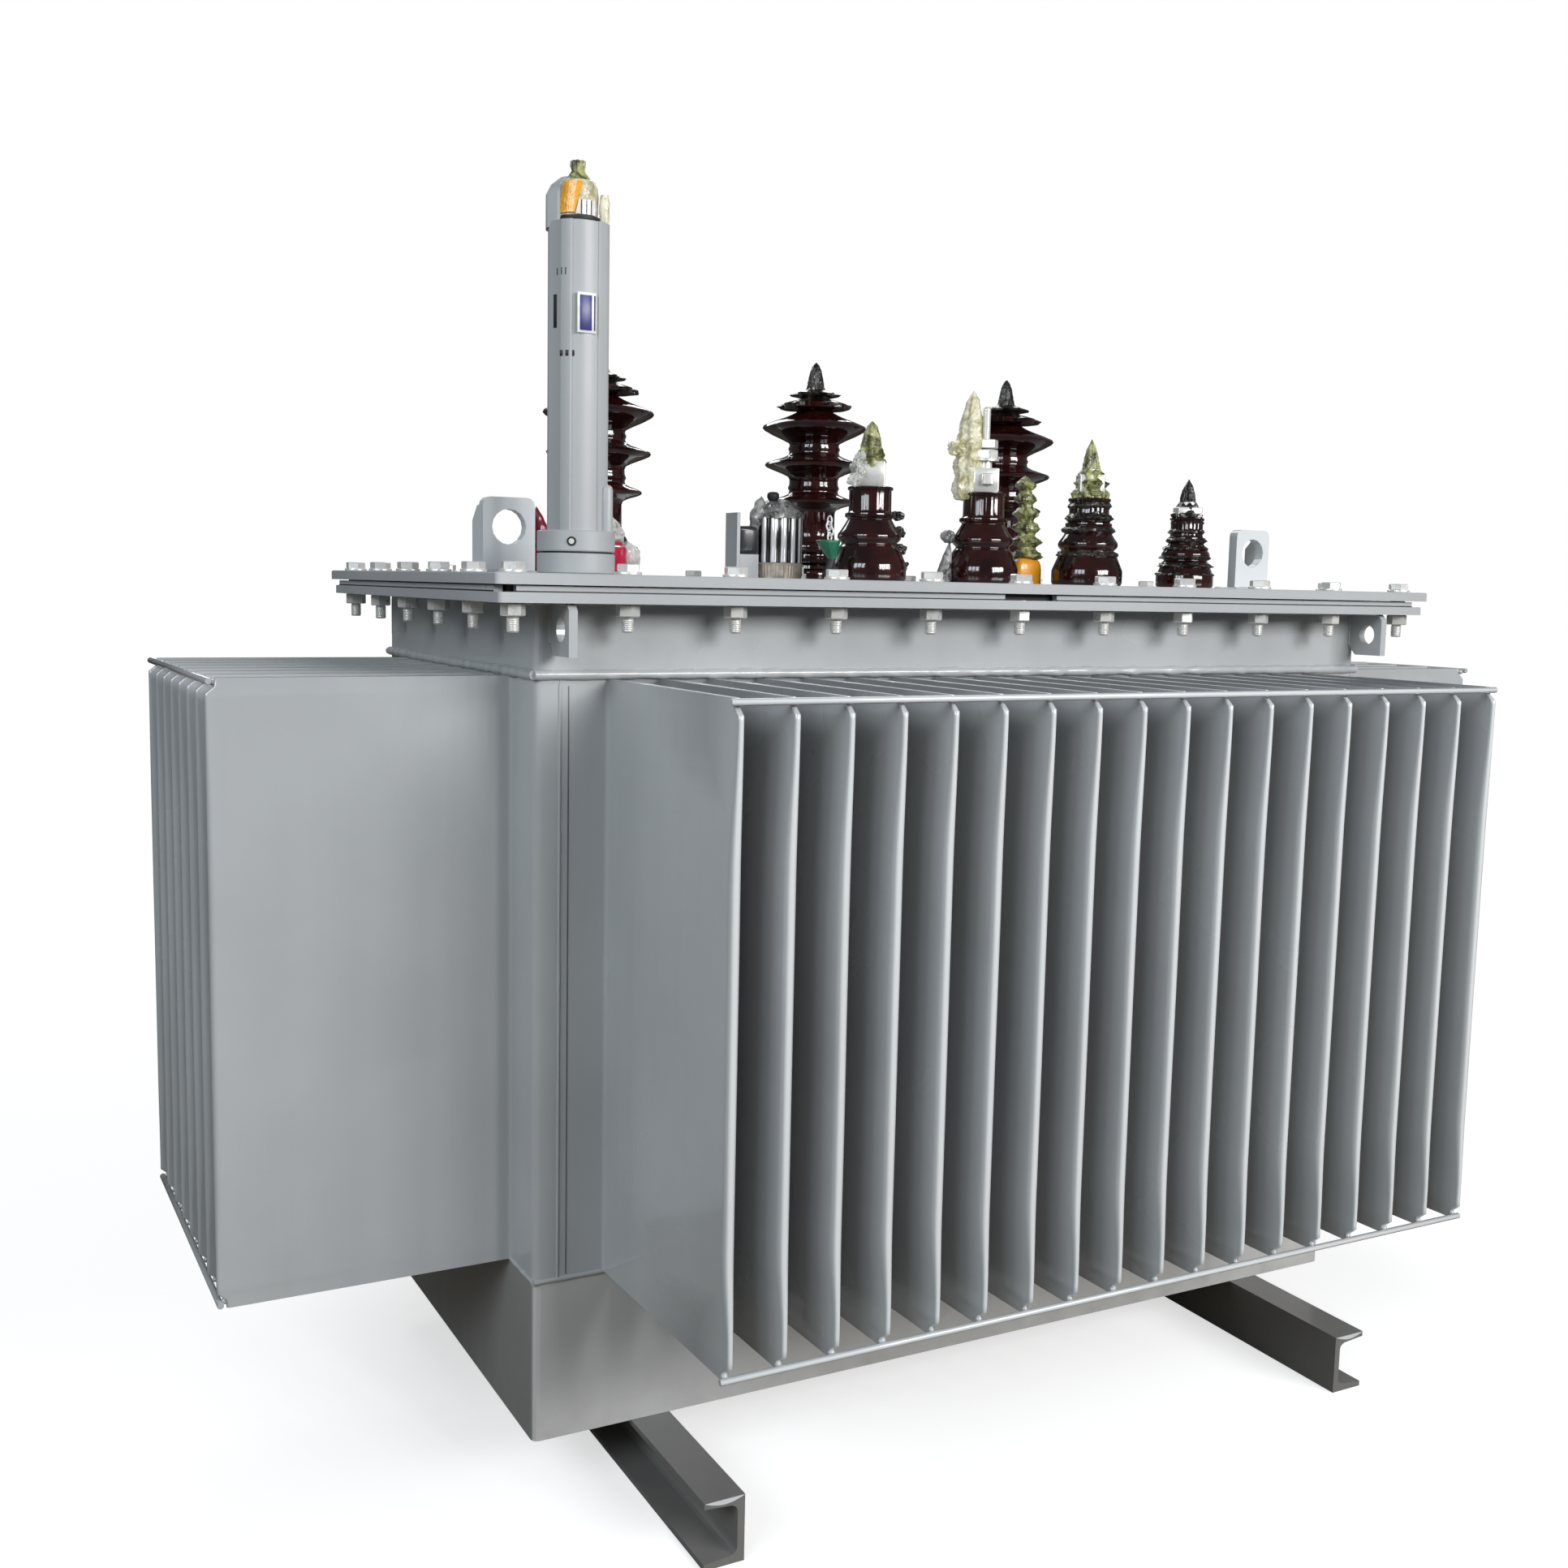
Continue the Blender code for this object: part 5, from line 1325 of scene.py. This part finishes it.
class TRANSFORMER_OT_oil_gauge(bpy.types.Operator):
    """Build the tall oil gauge: split ring, ribbed tube, window, label plate, hood and tied film"""
    bl_idname = "transformer.oil_gauge"
    bl_label = "Oil gauge"

    def execute(self, context):
        at = seat("gauge_base")
        ring = radius_of("gauge_base")
        split = top_of("gauge_base")
        self.rings(at, ring, split)
        self.tube(at, ring, split)
        self.marks(at, ring)
        self.head(at)
        return {'FINISHED'}

    def rings(self, at, ring, split):
        """The foot ring and the black seal on it."""
        shape = Shape()
        shape.turned([(0.0, 0.0003), (ring - 0.001, 0.0003), (ring, 0.0012), (ring, split - 0.001),
                      (ring - 0.0008, split), (0.0, split)], at, 72)
        shape.finish("gauge_foot_ring", "gauge_enamel", "grey_enamel", ("gauge_base",), fold=35.0)
        seal = Shape()
        seal.turned([(0.0, split), (ring - 0.0022, split), (ring - 0.0022, split + 0.0016),
                    (0.0, split + 0.0016)],
                    at, 60)
        seal.finish("gauge_ring_seal", "rubber", "black_rubber", fold=35.0)

    def tube(self, at, ring, split):
        """The upper ring, the ribbed tube and the small boss beside it."""
        top = top_of("gauge_tube")
        start = 0.039
        shape = Shape()
        shape.turned([(0.0, split + 0.0016), (ring - 0.0008, split + 0.0016), (ring, split + 0.0026),
                      (ring, start - 0.001), (ring - 0.001, start), (0.0, start)], at, 72)
        outline = [(x, -y) for x, y in reversed(GAUGE_TUBE)]
        shape.prism(outline, start - 0.0005, top, at, turn=GAUGE_TURN, edge=0.0008)
        boss = at + GAUGE_SPIN @ Vector((0.0275, -0.0110, 0.0))
        shape.turned([(0.0, start - 0.001), (0.0056, start - 0.001), (0.0056, 0.0760), (0.0050, 0.0785),
                      (0.0030, 0.0803), (0.0, 0.0810)], boss, 24)
        shape.finish("gauge_ribbed_tube", "gauge_enamel", "grey_enamel", ("gauge_tube",), fold=28.0)

    def marks(self, at, ring):
        """Painted shade in the window slot, three vents and round the ring screw, then the screw itself and
        the bare label plate.
        """
        def plate(shape, across, z, width, height, proud, thick=0.0016):
            out, angle = tube_front(across)
            centre = at + GAUGE_SPIN @ Vector((across, -out - proud + thick / 2, 0.0))
            shape.prism(box_outline(width, thick, thick * 0.2, 2), z - height / 2, z + height / 2, centre,
                        turn=GAUGE_TURN + angle, edge=0.0002)

        frame_shape = Shape()
        plate(frame_shape, 0.0082, 0.2304, 0.0180, 0.0350, 0.0012)
        frame_shape.finish("gauge_label_frame", "white_plastic", "grey_enamel", fold=35.0)
        field = Shape()
        plate(field, 0.0074, 0.2304, 0.0115, 0.0305, 0.0017)
        field.finish("gauge_label_field", "blue", "dark_plastic", fold=35.0)
        # Painted shade: dark plates and a dark disc stand in for the shade in the slot, the vents and round
        # the screw.
        dark = Shape()
        plate(dark, 0.0151, 0.2304, 0.0016, 0.0305, 0.0022)
        plate(dark, -0.0192, 0.2320, 0.0042, 0.0290, 0.0003)
        for k in range(3):
            plate(dark, -0.0138 + 0.0050 * k, 0.1950, 0.0030, 0.0050, 0.0004)
            plate(dark, -0.0175 + 0.0036 * k, 0.2660, 0.0010, 0.0060, 0.0003)
        face = at + GAUGE_SPIN @ Vector((-0.0040, -ring, 0.0290))
        out = GAUGE_SPIN @ Vector((-0.11, -1.0, 0.0)).normalized()
        dark.tube([face - out * 0.002, face + out * 0.0003], 0.0042, segments=24)
        dark.finish("gauge_slots", "shadow", "dark_plastic", fold=35.0)
        screw = Shape()
        screw.tube([face, face + out * 0.0007], 0.0025, segments=20)
        screw.finish("gauge_ring_screw", "zinc", "bright_zinc", fold=35.0)

    def head(self, at):
        """Black rim, clear window ring, side hood and the amber film with its tied olive twist."""
        top = top_of("gauge_tube")
        tip = top_of("gauge_cap")
        spin = GAUGE_SPIN
        rim = Shape()
        rim.turned(mm(((0, 0), (19, 0), (19.6, 1.2), (19.2, 4), (0, 4.4)), top),
                   at + spin @ Vector((0.0006, -0.004, 0.0)), 48)
        rim.finish("gauge_rim_seal", "rubber", "black_rubber", fold=35.0)
        hood = Shape()
        outline = [(-0.0285, 0.006), (-0.0285, -0.004), (-0.0270, -0.0085), (-0.0180, -0.0150),
                   (-0.0100, -0.0150),
                   (-0.0100, 0.016), (-0.0200, 0.015), (-0.0270, 0.011)]
        levels = ((1.0, 0.0, 1.0, -0.0055), (1.0, 0.0, 1.0, 0.0230), (0.80, 0.0015, 0.85, 0.0320),
                  (0.45, 0.0030, 0.6, 0.0390))
        hood.loft([[at + spin @ Vector((x * wide - shift, y * deep, top + z)) for x, y in outline]
                   for wide, shift, deep, z in levels])
        hood.finish("gauge_hood", "gauge_enamel", "grey_enamel", ("gauge_cap",), fold=30.0)
        spot = at + spin @ Vector((0.0, -0.004, 0.0))
        dome = Shape()
        dome.crumpled(mm(((0, 4), (17.6, 4.4), (18, 12), (18.2, 22), (17.8, 30), (15.2, 35), (11.2, 37),
            (0, 39)), top), spot, 91.0, depth=0.045, grain=0.016, rise=0.0018)
        dome.finish("gauge_film_dome", "film_straw", "aged_brass", fold=30.0)

        def strip(name, levels, reach, finish, slot):
            """A curved strip on the dome, from (height, start, end) levels."""
            shape = Shape()
            near = reach - 0.0010
            shape.loft([[spot + spin @ Vector((x, y, top + z)) for x, y in sector(a, b, near, reach)]
                        for z, a, b in levels])
            shape.finish(name, finish, slot, fold=35.0)

        strip("gauge_amber_strip", ((0.0060, -62.0, -8.0), (0.0200, -52.0, 2.0), (0.0330, -40.0, 14.0)),
              0.0192,
              "film_amber", "orange_plastic")
        strip("gauge_window", ((0.0046, -6.0, 52.0), (0.0170, 2.0, 52.0)), 0.0194, "white_plastic",
            "bright_chrome")
        # Painted shade: dark bars for the gaps between the window's white ribs.
        for k, angle in enumerate((8.0, 22.0, 36.0)):
            strip("gauge_window_bar_%d" % k, ((0.0048, angle, angle + 2.6), (0.0168, angle, angle + 2.6)),
                  0.0197,
                  "shadow", "dark_plastic")
        knot = Shape()
        knot.crumpled([
            (0.0, top + 0.0340), (0.0125, top + 0.0350), (0.0100, top + 0.0390), (0.0068, top + 0.0425),
            (0.0054, top + 0.0450), (0.0064, top + 0.0485), (0.0066, tip - 0.0016), (0.0, tip - 0.0006),
        ], spot, 93.0, depth=0.12, grain=0.006, pleats=9)
        knot.finish("gauge_film_knot", "film", "aged_brass", fold=25.0)
        flap = Shape()
        flap.crumpled(mm(((0, -8), (3.2, -6), (4.8, 4), (4.6, 18), (3.6, 24), (0, 25.5)), top),
            at + spin @ Vector((0.0235, -0.009, 0.0)), 95.0, depth=0.18, grain=0.009)
        flap.finish("gauge_film_flap", "film_straw", "aged_brass", fold=25.0)


class TRANSFORMER_OT_protective_relay(bpy.types.Operator):
    """Build the round red relay behind the gauge, half covered in film"""
    bl_idname = "transformer.protective_relay"
    bl_label = "Protective relay"

    def execute(self, context):
        at = seat("protection_relay")
        radius = radius_of("protection_relay")
        top = top_of("protection_relay")
        shape = Shape()
        shape.turned([
            (0.0, 0.0003), (radius * 0.93, 0.0003), (radius * 0.95, 0.004), (radius, 0.0055),
            (radius, top - 0.010),
            (radius * 0.985, top - 0.008), (radius * 0.93, top - 0.0065), (radius * 0.90, top - 0.003),
            (radius * 0.60, top - 0.0005), (0.0, top),
        ], at, 64)
        shape.finish("relay_housing", "red", "red_paint", ("protection_relay",), fold=35.0)
        film = Shape()
        film.crumpled(mm(((0, -6), (20, -5), (22, 6), (17, 18), (8, 26), (0, 28)), top),
                      at + Vector((0.030, 0.004, 0.0)), 101.0,
                      depth=0.22, lean=(-0.004, 0.0))
        film.lump(at + Vector((0.052, 0.0, 0.018)), 0.016, 102.0, depth=0.25)
        film.finish("relay_film", "film_clear", "bright_chrome", fold=25.0)
        tuft = Shape()
        tuft.crumpled(mm(((0, -12), (10, -10), (13, -2), (9, 6), (5, 20), (0, 30)), top),
                      at + Vector((-0.040, -0.012, 0.0)), 104.0,
                      depth=0.25, lean=(-0.008, 0.0))
        tuft.finish("relay_red_tuft", "dark_red", "red_paint", fold=25.0)
        return {'FINISHED'}


class TRANSFORMER_OT_tap_changer(bpy.types.Operator):
    """Build the tap changer: knurled brass base, fluted plated cover, film and black knob"""
    bl_idname = "transformer.tap_changer"
    bl_label = "Tap changer"

    def execute(self, context):
        at = seat("tap_changer_base")
        radius = radius_of("tap_changer_base")
        seam = top_of("tap_changer_base")
        top = top_of("tap_changer_cover")

        def knurl(angle, height):
            return 1.0 - (0.012 * (1.0 + math.cos(48 * angle)) if 0.004 < height < seam - 0.003 else 0.0)

        base = Shape()
        base.turned([(0.0, 0.0003), (radius * 0.95, 0.0003), (radius * 0.97, 0.003), (radius, 0.0045),
                     (radius, seam - 0.0045), (radius * 1.02, seam - 0.002), (radius * 0.98, seam - 0.0003),
                     (0.0, seam - 0.0002)], at, 192, knurl)
        base.finish("tap_changer_knurled_base", "brass", "aged_brass", ("tap_changer_base",), fold=40.0)

        def flutes(angle, height):
            return 1.0 - 0.075 * abs(math.sin(7.0 * angle)) ** 3

        reach = radius * 0.965
        cover = Shape()
        cover.turned([(0.0, seam), (reach * 0.985, seam), (reach, seam + 0.001), (reach, top - 0.004),
                      (reach * 0.97, top - 0.0015), (reach * 0.90, top), (0.0, top)], at, 168, flutes)
        cover.finish("tap_changer_fluted_cover", "chrome", "bright_chrome", ("tap_changer_cover",),
            fold=60.0)
        film = Shape()
        film.crumpled([(0.0, top - 0.0040), (reach * 1.02, top - 0.0035), (reach * 1.04, top + 0.002),
                       (reach * 0.80, top + 0.009), (reach * 0.60, top + 0.014),
                       (reach * 0.45, top + 0.0165),
                       (0.0, top + 0.0180)], at, 111.0, depth=0.16)
        film.crumpled(mm(((0, -30), (3.5, -28), (6, -12), (8, 2), (5, 14), (0, 20)), top),
                      at + Vector((-0.036, -0.006, 0.0)), 112.0,
                      depth=0.3, lean=(0.012, 0.0))
        film.finish("tap_changer_film", "film_smoke", "dark_plastic", fold=25.0)
        knob = Shape()
        knob.turned(mm(((0, 15), (5.2, 16), (6.6, 19), (6.4, 22.5), (4.5, 24.5), (0, 25)), top),
            at + Vector((-0.010, -0.006, 0.0)), 28)
        knob.finish("tap_changer_knob", "rubber", "black_rubber", fold=50.0)
        return {'FINISHED'}


class TRANSFORMER_OT_relief_valve(bpy.types.Operator):
    """Build the dark relief valve housing on its grey block and bracket"""
    bl_idname = "transformer.relief_valve"
    bl_label = "Relief valve"

    def execute(self, context):
        low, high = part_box("relief_valve")
        at = seat("relief_valve")
        bottom, top = low[2] - LID_TOP, high[2] - LID_TOP
        width, depth = high[0] - low[0], high[1] - low[1]
        shape = Shape()
        half = width / 2
        outline = box_outline(depth, top - bottom, 0.005, 5)
        levels = ((-half, 0.0008), (-half + 0.0008, 0.0), (half - 0.003, 0.0), (half - 0.001, 0.0012),
            (half, 0.003))
        shape.loft([[at + Vector((x, y, (bottom + top) / 2 + z)) for y, z in inset_outline(outline, shrink)]
                    for x, shrink in levels])
        shape.finish("relief_valve_housing", "slate", "dark_plastic", ("relief_valve",), fold=40.0)
        low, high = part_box("relief_valve_bracket")
        block = Shape()
        plate = 0.004
        centre = Vector(((low[0] + high[0]) / 2, at.y, LID_TOP))
        left = low[0] - centre.x
        right = high[0] - centre.x
        block.prism([(left + plate, -depth / 2), (right, -depth / 2), (right, depth / 2),
                    (left + plate, depth / 2)],
                    0.0003, bottom - 0.0003, centre, edge=0.0006)
        block.prism([(left, -depth / 2), (left + plate - 0.0002, -depth / 2),
                     (left + plate - 0.0002, depth / 2),
                     (left, depth / 2)], 0.0003, high[2] - LID_TOP, centre, edge=0.0005)
        block.finish("relief_valve_support", "gauge_enamel", "grey_enamel", ("relief_valve_bracket",),
            fold=30.0)
        return {'FINISHED'}


class TRANSFORMER_OT_oil_filler(bpy.types.Operator):
    """Build the oil filler: bent dark stem, green faceted funnel cap and its chain"""
    bl_idname = "transformer.oil_filler"
    bl_label = "Oil filler"

    def execute(self, context):
        at = seat("filler_stem")
        top = top_of("filler_cap")
        stem = Shape()
        bend = ((-0.001, 0.0003), (-0.001, 0.003), (0.0, 0.009), (0.003, 0.016), (0.005, 0.0225))
        stem.tube([at + Vector((x, 0.0, z)) for x, z in bend], 0.0040, segments=16)
        stem.finish("filler_bent_stem", "rubber", "black_rubber", ("filler_stem",), fold=50.0)
        cap = Shape()
        levels = ((1.0, 0.0035, 0.0205), (0.8, 0.0050, 0.0240), (0.2, 0.0105, 0.0345),
                  (0.0, 0.0125, top - 0.0025),
                  (0.0, 0.0125, top - 0.0008), (0.0, 0.0112, top))
        corners = [TURN * k / 8 + 0.3 for k in range(8)]
        cap.loft([[at + Vector((0.005 * share + reach * math.cos(angle), reach * math.sin(angle), z))
                   for angle in corners] for share, reach, z in levels])
        cap.finish("filler_funnel_cap", "green", "green_plastic", ("filler_cap",), fold=20.0)
        chain = Shape()
        for k in range(4):
            centre = at + Vector((0.001 + 0.0012 * math.sin(2.0 * k), -0.001, top + 0.0032 + 0.0056 * k))
            tilt = Matrix.Rotation(0.5 + 1.45 * k, 3, 'Z')
            round_link = [TURN * i / 18 for i in range(18)]
            chain.hoop([centre + tilt @ Vector((0.0036 * math.cos(angle), 0.0, 0.0045 * math.sin(angle)))
                        for angle in round_link], 0.0009)
        chain.finish("filler_chain", "white_plastic", "bright_chrome", fold=60.0)
        return {'FINISHED'}


class TRANSFORMER_OT_contact_block(bpy.types.Operator):
    """Build the orange block behind the second low-voltage bushing, with film over it"""
    bl_idname = "transformer.contact_block"
    bl_label = "Contact block"

    def execute(self, context):
        at = seat("contact_block")
        low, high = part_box("contact_block")
        outline = box_outline(high[0] - low[0], high[1] - low[1], 0.007, 5)
        top = high[2] - LID_TOP
        levels = ((0.0003, 0.98), (0.0015, 1.0), (top * 0.55, 1.0), (top * 0.75, 0.96), (top * 0.90, 0.86),
                  (top * 0.98, 0.68), (top, 0.45))
        shape = Shape()
        shape.loft([[at + Vector((x * share, y * share, z)) for x, y in outline] for z, share in levels])
        shape.finish("contact_block_moulding", "orange", "orange_plastic", ("contact_block",), fold=50.0)
        film = Shape()
        profile = [(0.0, top - 0.004)]
        for k in range(6):
            z = top - 0.003 + 0.0160 * k
            reach = 0.0165 - 0.0012 * k
            profile += [(reach * 0.70, z), (reach * 1.15, z + 0.005), (reach * 1.05, z + 0.0085),
                        (reach * 0.62, z + 0.0130)]
        profile.append((0.0, profile[-1][1] + 0.004))
        film.crumpled(profile, at + Vector((0.006, 0.004, 0.0)), 121.0, depth=0.20, grain=0.007,
                      rise=0.0018,
                      lean=(-0.006, 0.0))
        film.finish("contact_block_film", "film", "aged_brass", fold=25.0)
        return {'FINISHED'}


CAMERA_PLACE = (-0.99908, -1.65556, 0.86567)
CAMERA_RIGHT = (0.88362, -0.46775, 0.02055)
CAMERA_DOWN = (-0.03735, -0.11417, -0.99276)
CAMERA_FORWARD = (0.46671, 0.87645, -0.11835)
CAMERA_LENS = 38.353
CAMERA_SENSOR = 36.0


class TRANSFORMER_OT_stage(bpy.types.Operator):
    """Set the pale floor, the pale background, the soft lights and the camera"""
    bl_idname = "transformer.stage"
    bl_label = "Stage"

    def execute(self, context):
        self.floor()
        self.background(context.scene)
        self.lights()
        self.camera(context.scene)
        context.scene.view_settings.view_transform = 'Standard'
        return {'FINISHED'}

    def floor(self):
        """Floor that looks pale and throws little light back up."""
        made = Finish("studio_floor", colours().floor, 0.8)
        far = made.node("ShaderNodeVectorMath", {"operation": 'LENGTH'}, {0: made.place}, output="Value")
        far = far.between(0.9, 2.3)
        grain = made.blend(made.noise(2.0, detail=2.0), made.shade(0.97), made.shade(1.0))
        made.feed("Base Color", made.blend(far, grain, (0.0, 0.0, 0.0)))
        made.feed("Emission Color", made.blend(far, (0.62, 0.62, 0.62), (1.0, 1.0, 1.0)))
        nodes, links = made.tree.nodes, made.tree.links
        made.shader.inputs["Emission Strength"].default_value = 1.0
        dim = nodes.new("ShaderNodeBsdfDiffuse")
        dim.inputs["Color"].default_value = (0.175, 0.155, 0.125, 1.0)
        path = nodes.new("ShaderNodeLightPath")
        mix = nodes.new("ShaderNodeMixShader")
        links.new(path.outputs["Is Camera Ray"], mix.inputs["Fac"])
        links.new(dim.outputs[0], mix.inputs[1])
        links.new(made.shader.outputs[0], mix.inputs[2])
        links.new(mix.outputs[0], nodes["Material Output"].inputs["Surface"])
        cells = bmesh.new()
        bmesh.ops.create_grid(cells, x_segments=1, y_segments=1, size=40.0)
        mesh = bpy.data.meshes.new("studio_floor")
        cells.to_mesh(mesh)
        cells.free()
        mesh.transform(Matrix.Translation((0.0, 0.0, -0.0002)))
        mesh.materials.append(made.material)
        floor = bpy.data.objects.new("studio_floor", mesh)
        bpy.context.scene.collection.objects.link(floor)

    def background(self, scene):
        """Backdrop that looks white, and a dim bluish room as a source of light."""
        world = bpy.data.worlds.new("studio")
        world.use_nodes = True
        scene.world = world
        nodes, links = world.node_tree.nodes, world.node_tree.links
        nodes.clear()
        seen = nodes.new("ShaderNodeBackground")
        seen.inputs["Color"].default_value = (1.0, 1.0, 1.0, 1.0)
        fill = nodes.new("ShaderNodeBackground")
        fill.inputs["Color"].default_value = (0.90, 0.96, 1.0, 1.0)
        fill.inputs["Strength"].default_value = 0.14
        path = nodes.new("ShaderNodeLightPath")
        mix = nodes.new("ShaderNodeMixShader")
        out = nodes.new("ShaderNodeOutputWorld")
        links.new(path.outputs["Is Camera Ray"], mix.inputs["Fac"])
        links.new(fill.outputs[0], mix.inputs[1])
        links.new(seen.outputs[0], mix.inputs[2])
        links.new(mix.outputs[0], out.inputs["Surface"])

    def lights(self):
        """Rows of soft panels: a main one front right, a weak one at the left, one behind for the lid."""
        rows = (
            ("front_panel", (1.20, -3.40, 1.95), 5, 2.4, 1.1, 134.0, 1.0, (1.0, 1.0, 1.0)),
            ("left_panel", (-3.1, -1.9, 2.3), 3, 2.4, 1.4, 72.0, 0.6, (0.86, 0.94, 1.0)),
            ("rear_panel", (0.6, 2.8, 3.0), 1, 3.0, 1.4, 60.0, 0.3, (1.0, 1.0, 1.0)),
        )
        aim = Vector((0.0, 0.0, 0.75))
        tile_share = 0.74
        for name, place, count, width, height, power, shine, tint in rows:
            turn = (Vector(place) - aim).to_track_quat('Z', 'Y')
            pitch = width / count
            for k in range(count):
                panel = bpy.data.lights.new("%s_%d" % (name, k), 'AREA')
                panel.shape = 'RECTANGLE'
                panel.size = pitch * (tile_share if count > 1 else 1.0)
                panel.size_y = height
                panel.energy = power / count
                panel.specular_factor = shine
                panel.color = tint
                lamp = bpy.data.objects.new(panel.name, panel)
                lamp.location = Vector(place) + turn @ Vector(((k - (count - 1) / 2) * pitch, 0.0, 0.0))
                lamp.rotation_euler = turn.to_euler()
                bpy.context.scene.collection.objects.link(lamp)

    def camera(self, scene):
        """The camera fitted to the photograph."""
        seen = bpy.data.cameras.new("photo_view")
        seen.sensor_width = CAMERA_SENSOR
        seen.lens = CAMERA_LENS
        seen.clip_end = 200.0
        camera = bpy.data.objects.new("photo_view", seen)
        axes = (Vector(CAMERA_RIGHT), -Vector(CAMERA_DOWN), -Vector(CAMERA_FORWARD))
        turn = Matrix((axes[0], axes[1], axes[2])).transposed().to_4x4()
        camera.matrix_world = Matrix.Translation(CAMERA_PLACE) @ turn
        scene.collection.objects.link(camera)
        scene.camera = camera


OPERATORS = (
    TRANSFORMER_OT_stage,
    TRANSFORMER_OT_paint_frame,
    TRANSFORMER_OT_fin_walls,
    TRANSFORMER_OT_rim_bolts,
    TRANSFORMER_OT_weld_beads,
    TRANSFORMER_OT_high_voltage_bushings,
    TRANSFORMER_OT_low_voltage_bushings,
    TRANSFORMER_OT_films,
    TRANSFORMER_OT_oil_gauge,
    TRANSFORMER_OT_protective_relay,
    TRANSFORMER_OT_tap_changer,
    TRANSFORMER_OT_relief_valve,
    TRANSFORMER_OT_oil_filler,
    TRANSFORMER_OT_contact_block,
)


class TRANSFORMER_PT_pieces(bpy.types.Panel):
    """The transformer's sizes, colours and pieces"""
    bl_idname = "TRANSFORMER_PT_pieces"
    bl_label = "Power transformer"
    bl_space_type = 'VIEW_3D'
    bl_region_type = 'UI'
    bl_category = "Transformer"

    def draw(self, context):
        for group in (context.scene.transformer_sizes, context.scene.transformer_colours):
            box = self.layout.box()
            for name in group.__annotations__:
                box.prop(group, name)
        for operator in OPERATORS:
            self.layout.operator(operator.bl_idname)


CLASSES = (TransformerSizes, TransformerColours, *OPERATORS, TRANSFORMER_PT_pieces)


def register():
    for item in CLASSES:
        bpy.utils.register_class(item)
    bpy.types.Scene.transformer_sizes = bpy.props.PointerProperty(type=TransformerSizes)
    bpy.types.Scene.transformer_colours = bpy.props.PointerProperty(type=TransformerColours)


def unregister():
    del bpy.types.Scene.transformer_colours
    del bpy.types.Scene.transformer_sizes
    for item in reversed(CLASSES):
        bpy.utils.unregister_class(item)


def run(operator):
    """Call an operator through bpy.ops."""
    group, name = operator.bl_idname.split(".")
    getattr(getattr(bpy.ops, group), name)()


def main():
    register()
    for operator in OPERATORS:
        run(operator)
    bpy.context.view_layer.update()


if __name__ == "__main__":
    main()
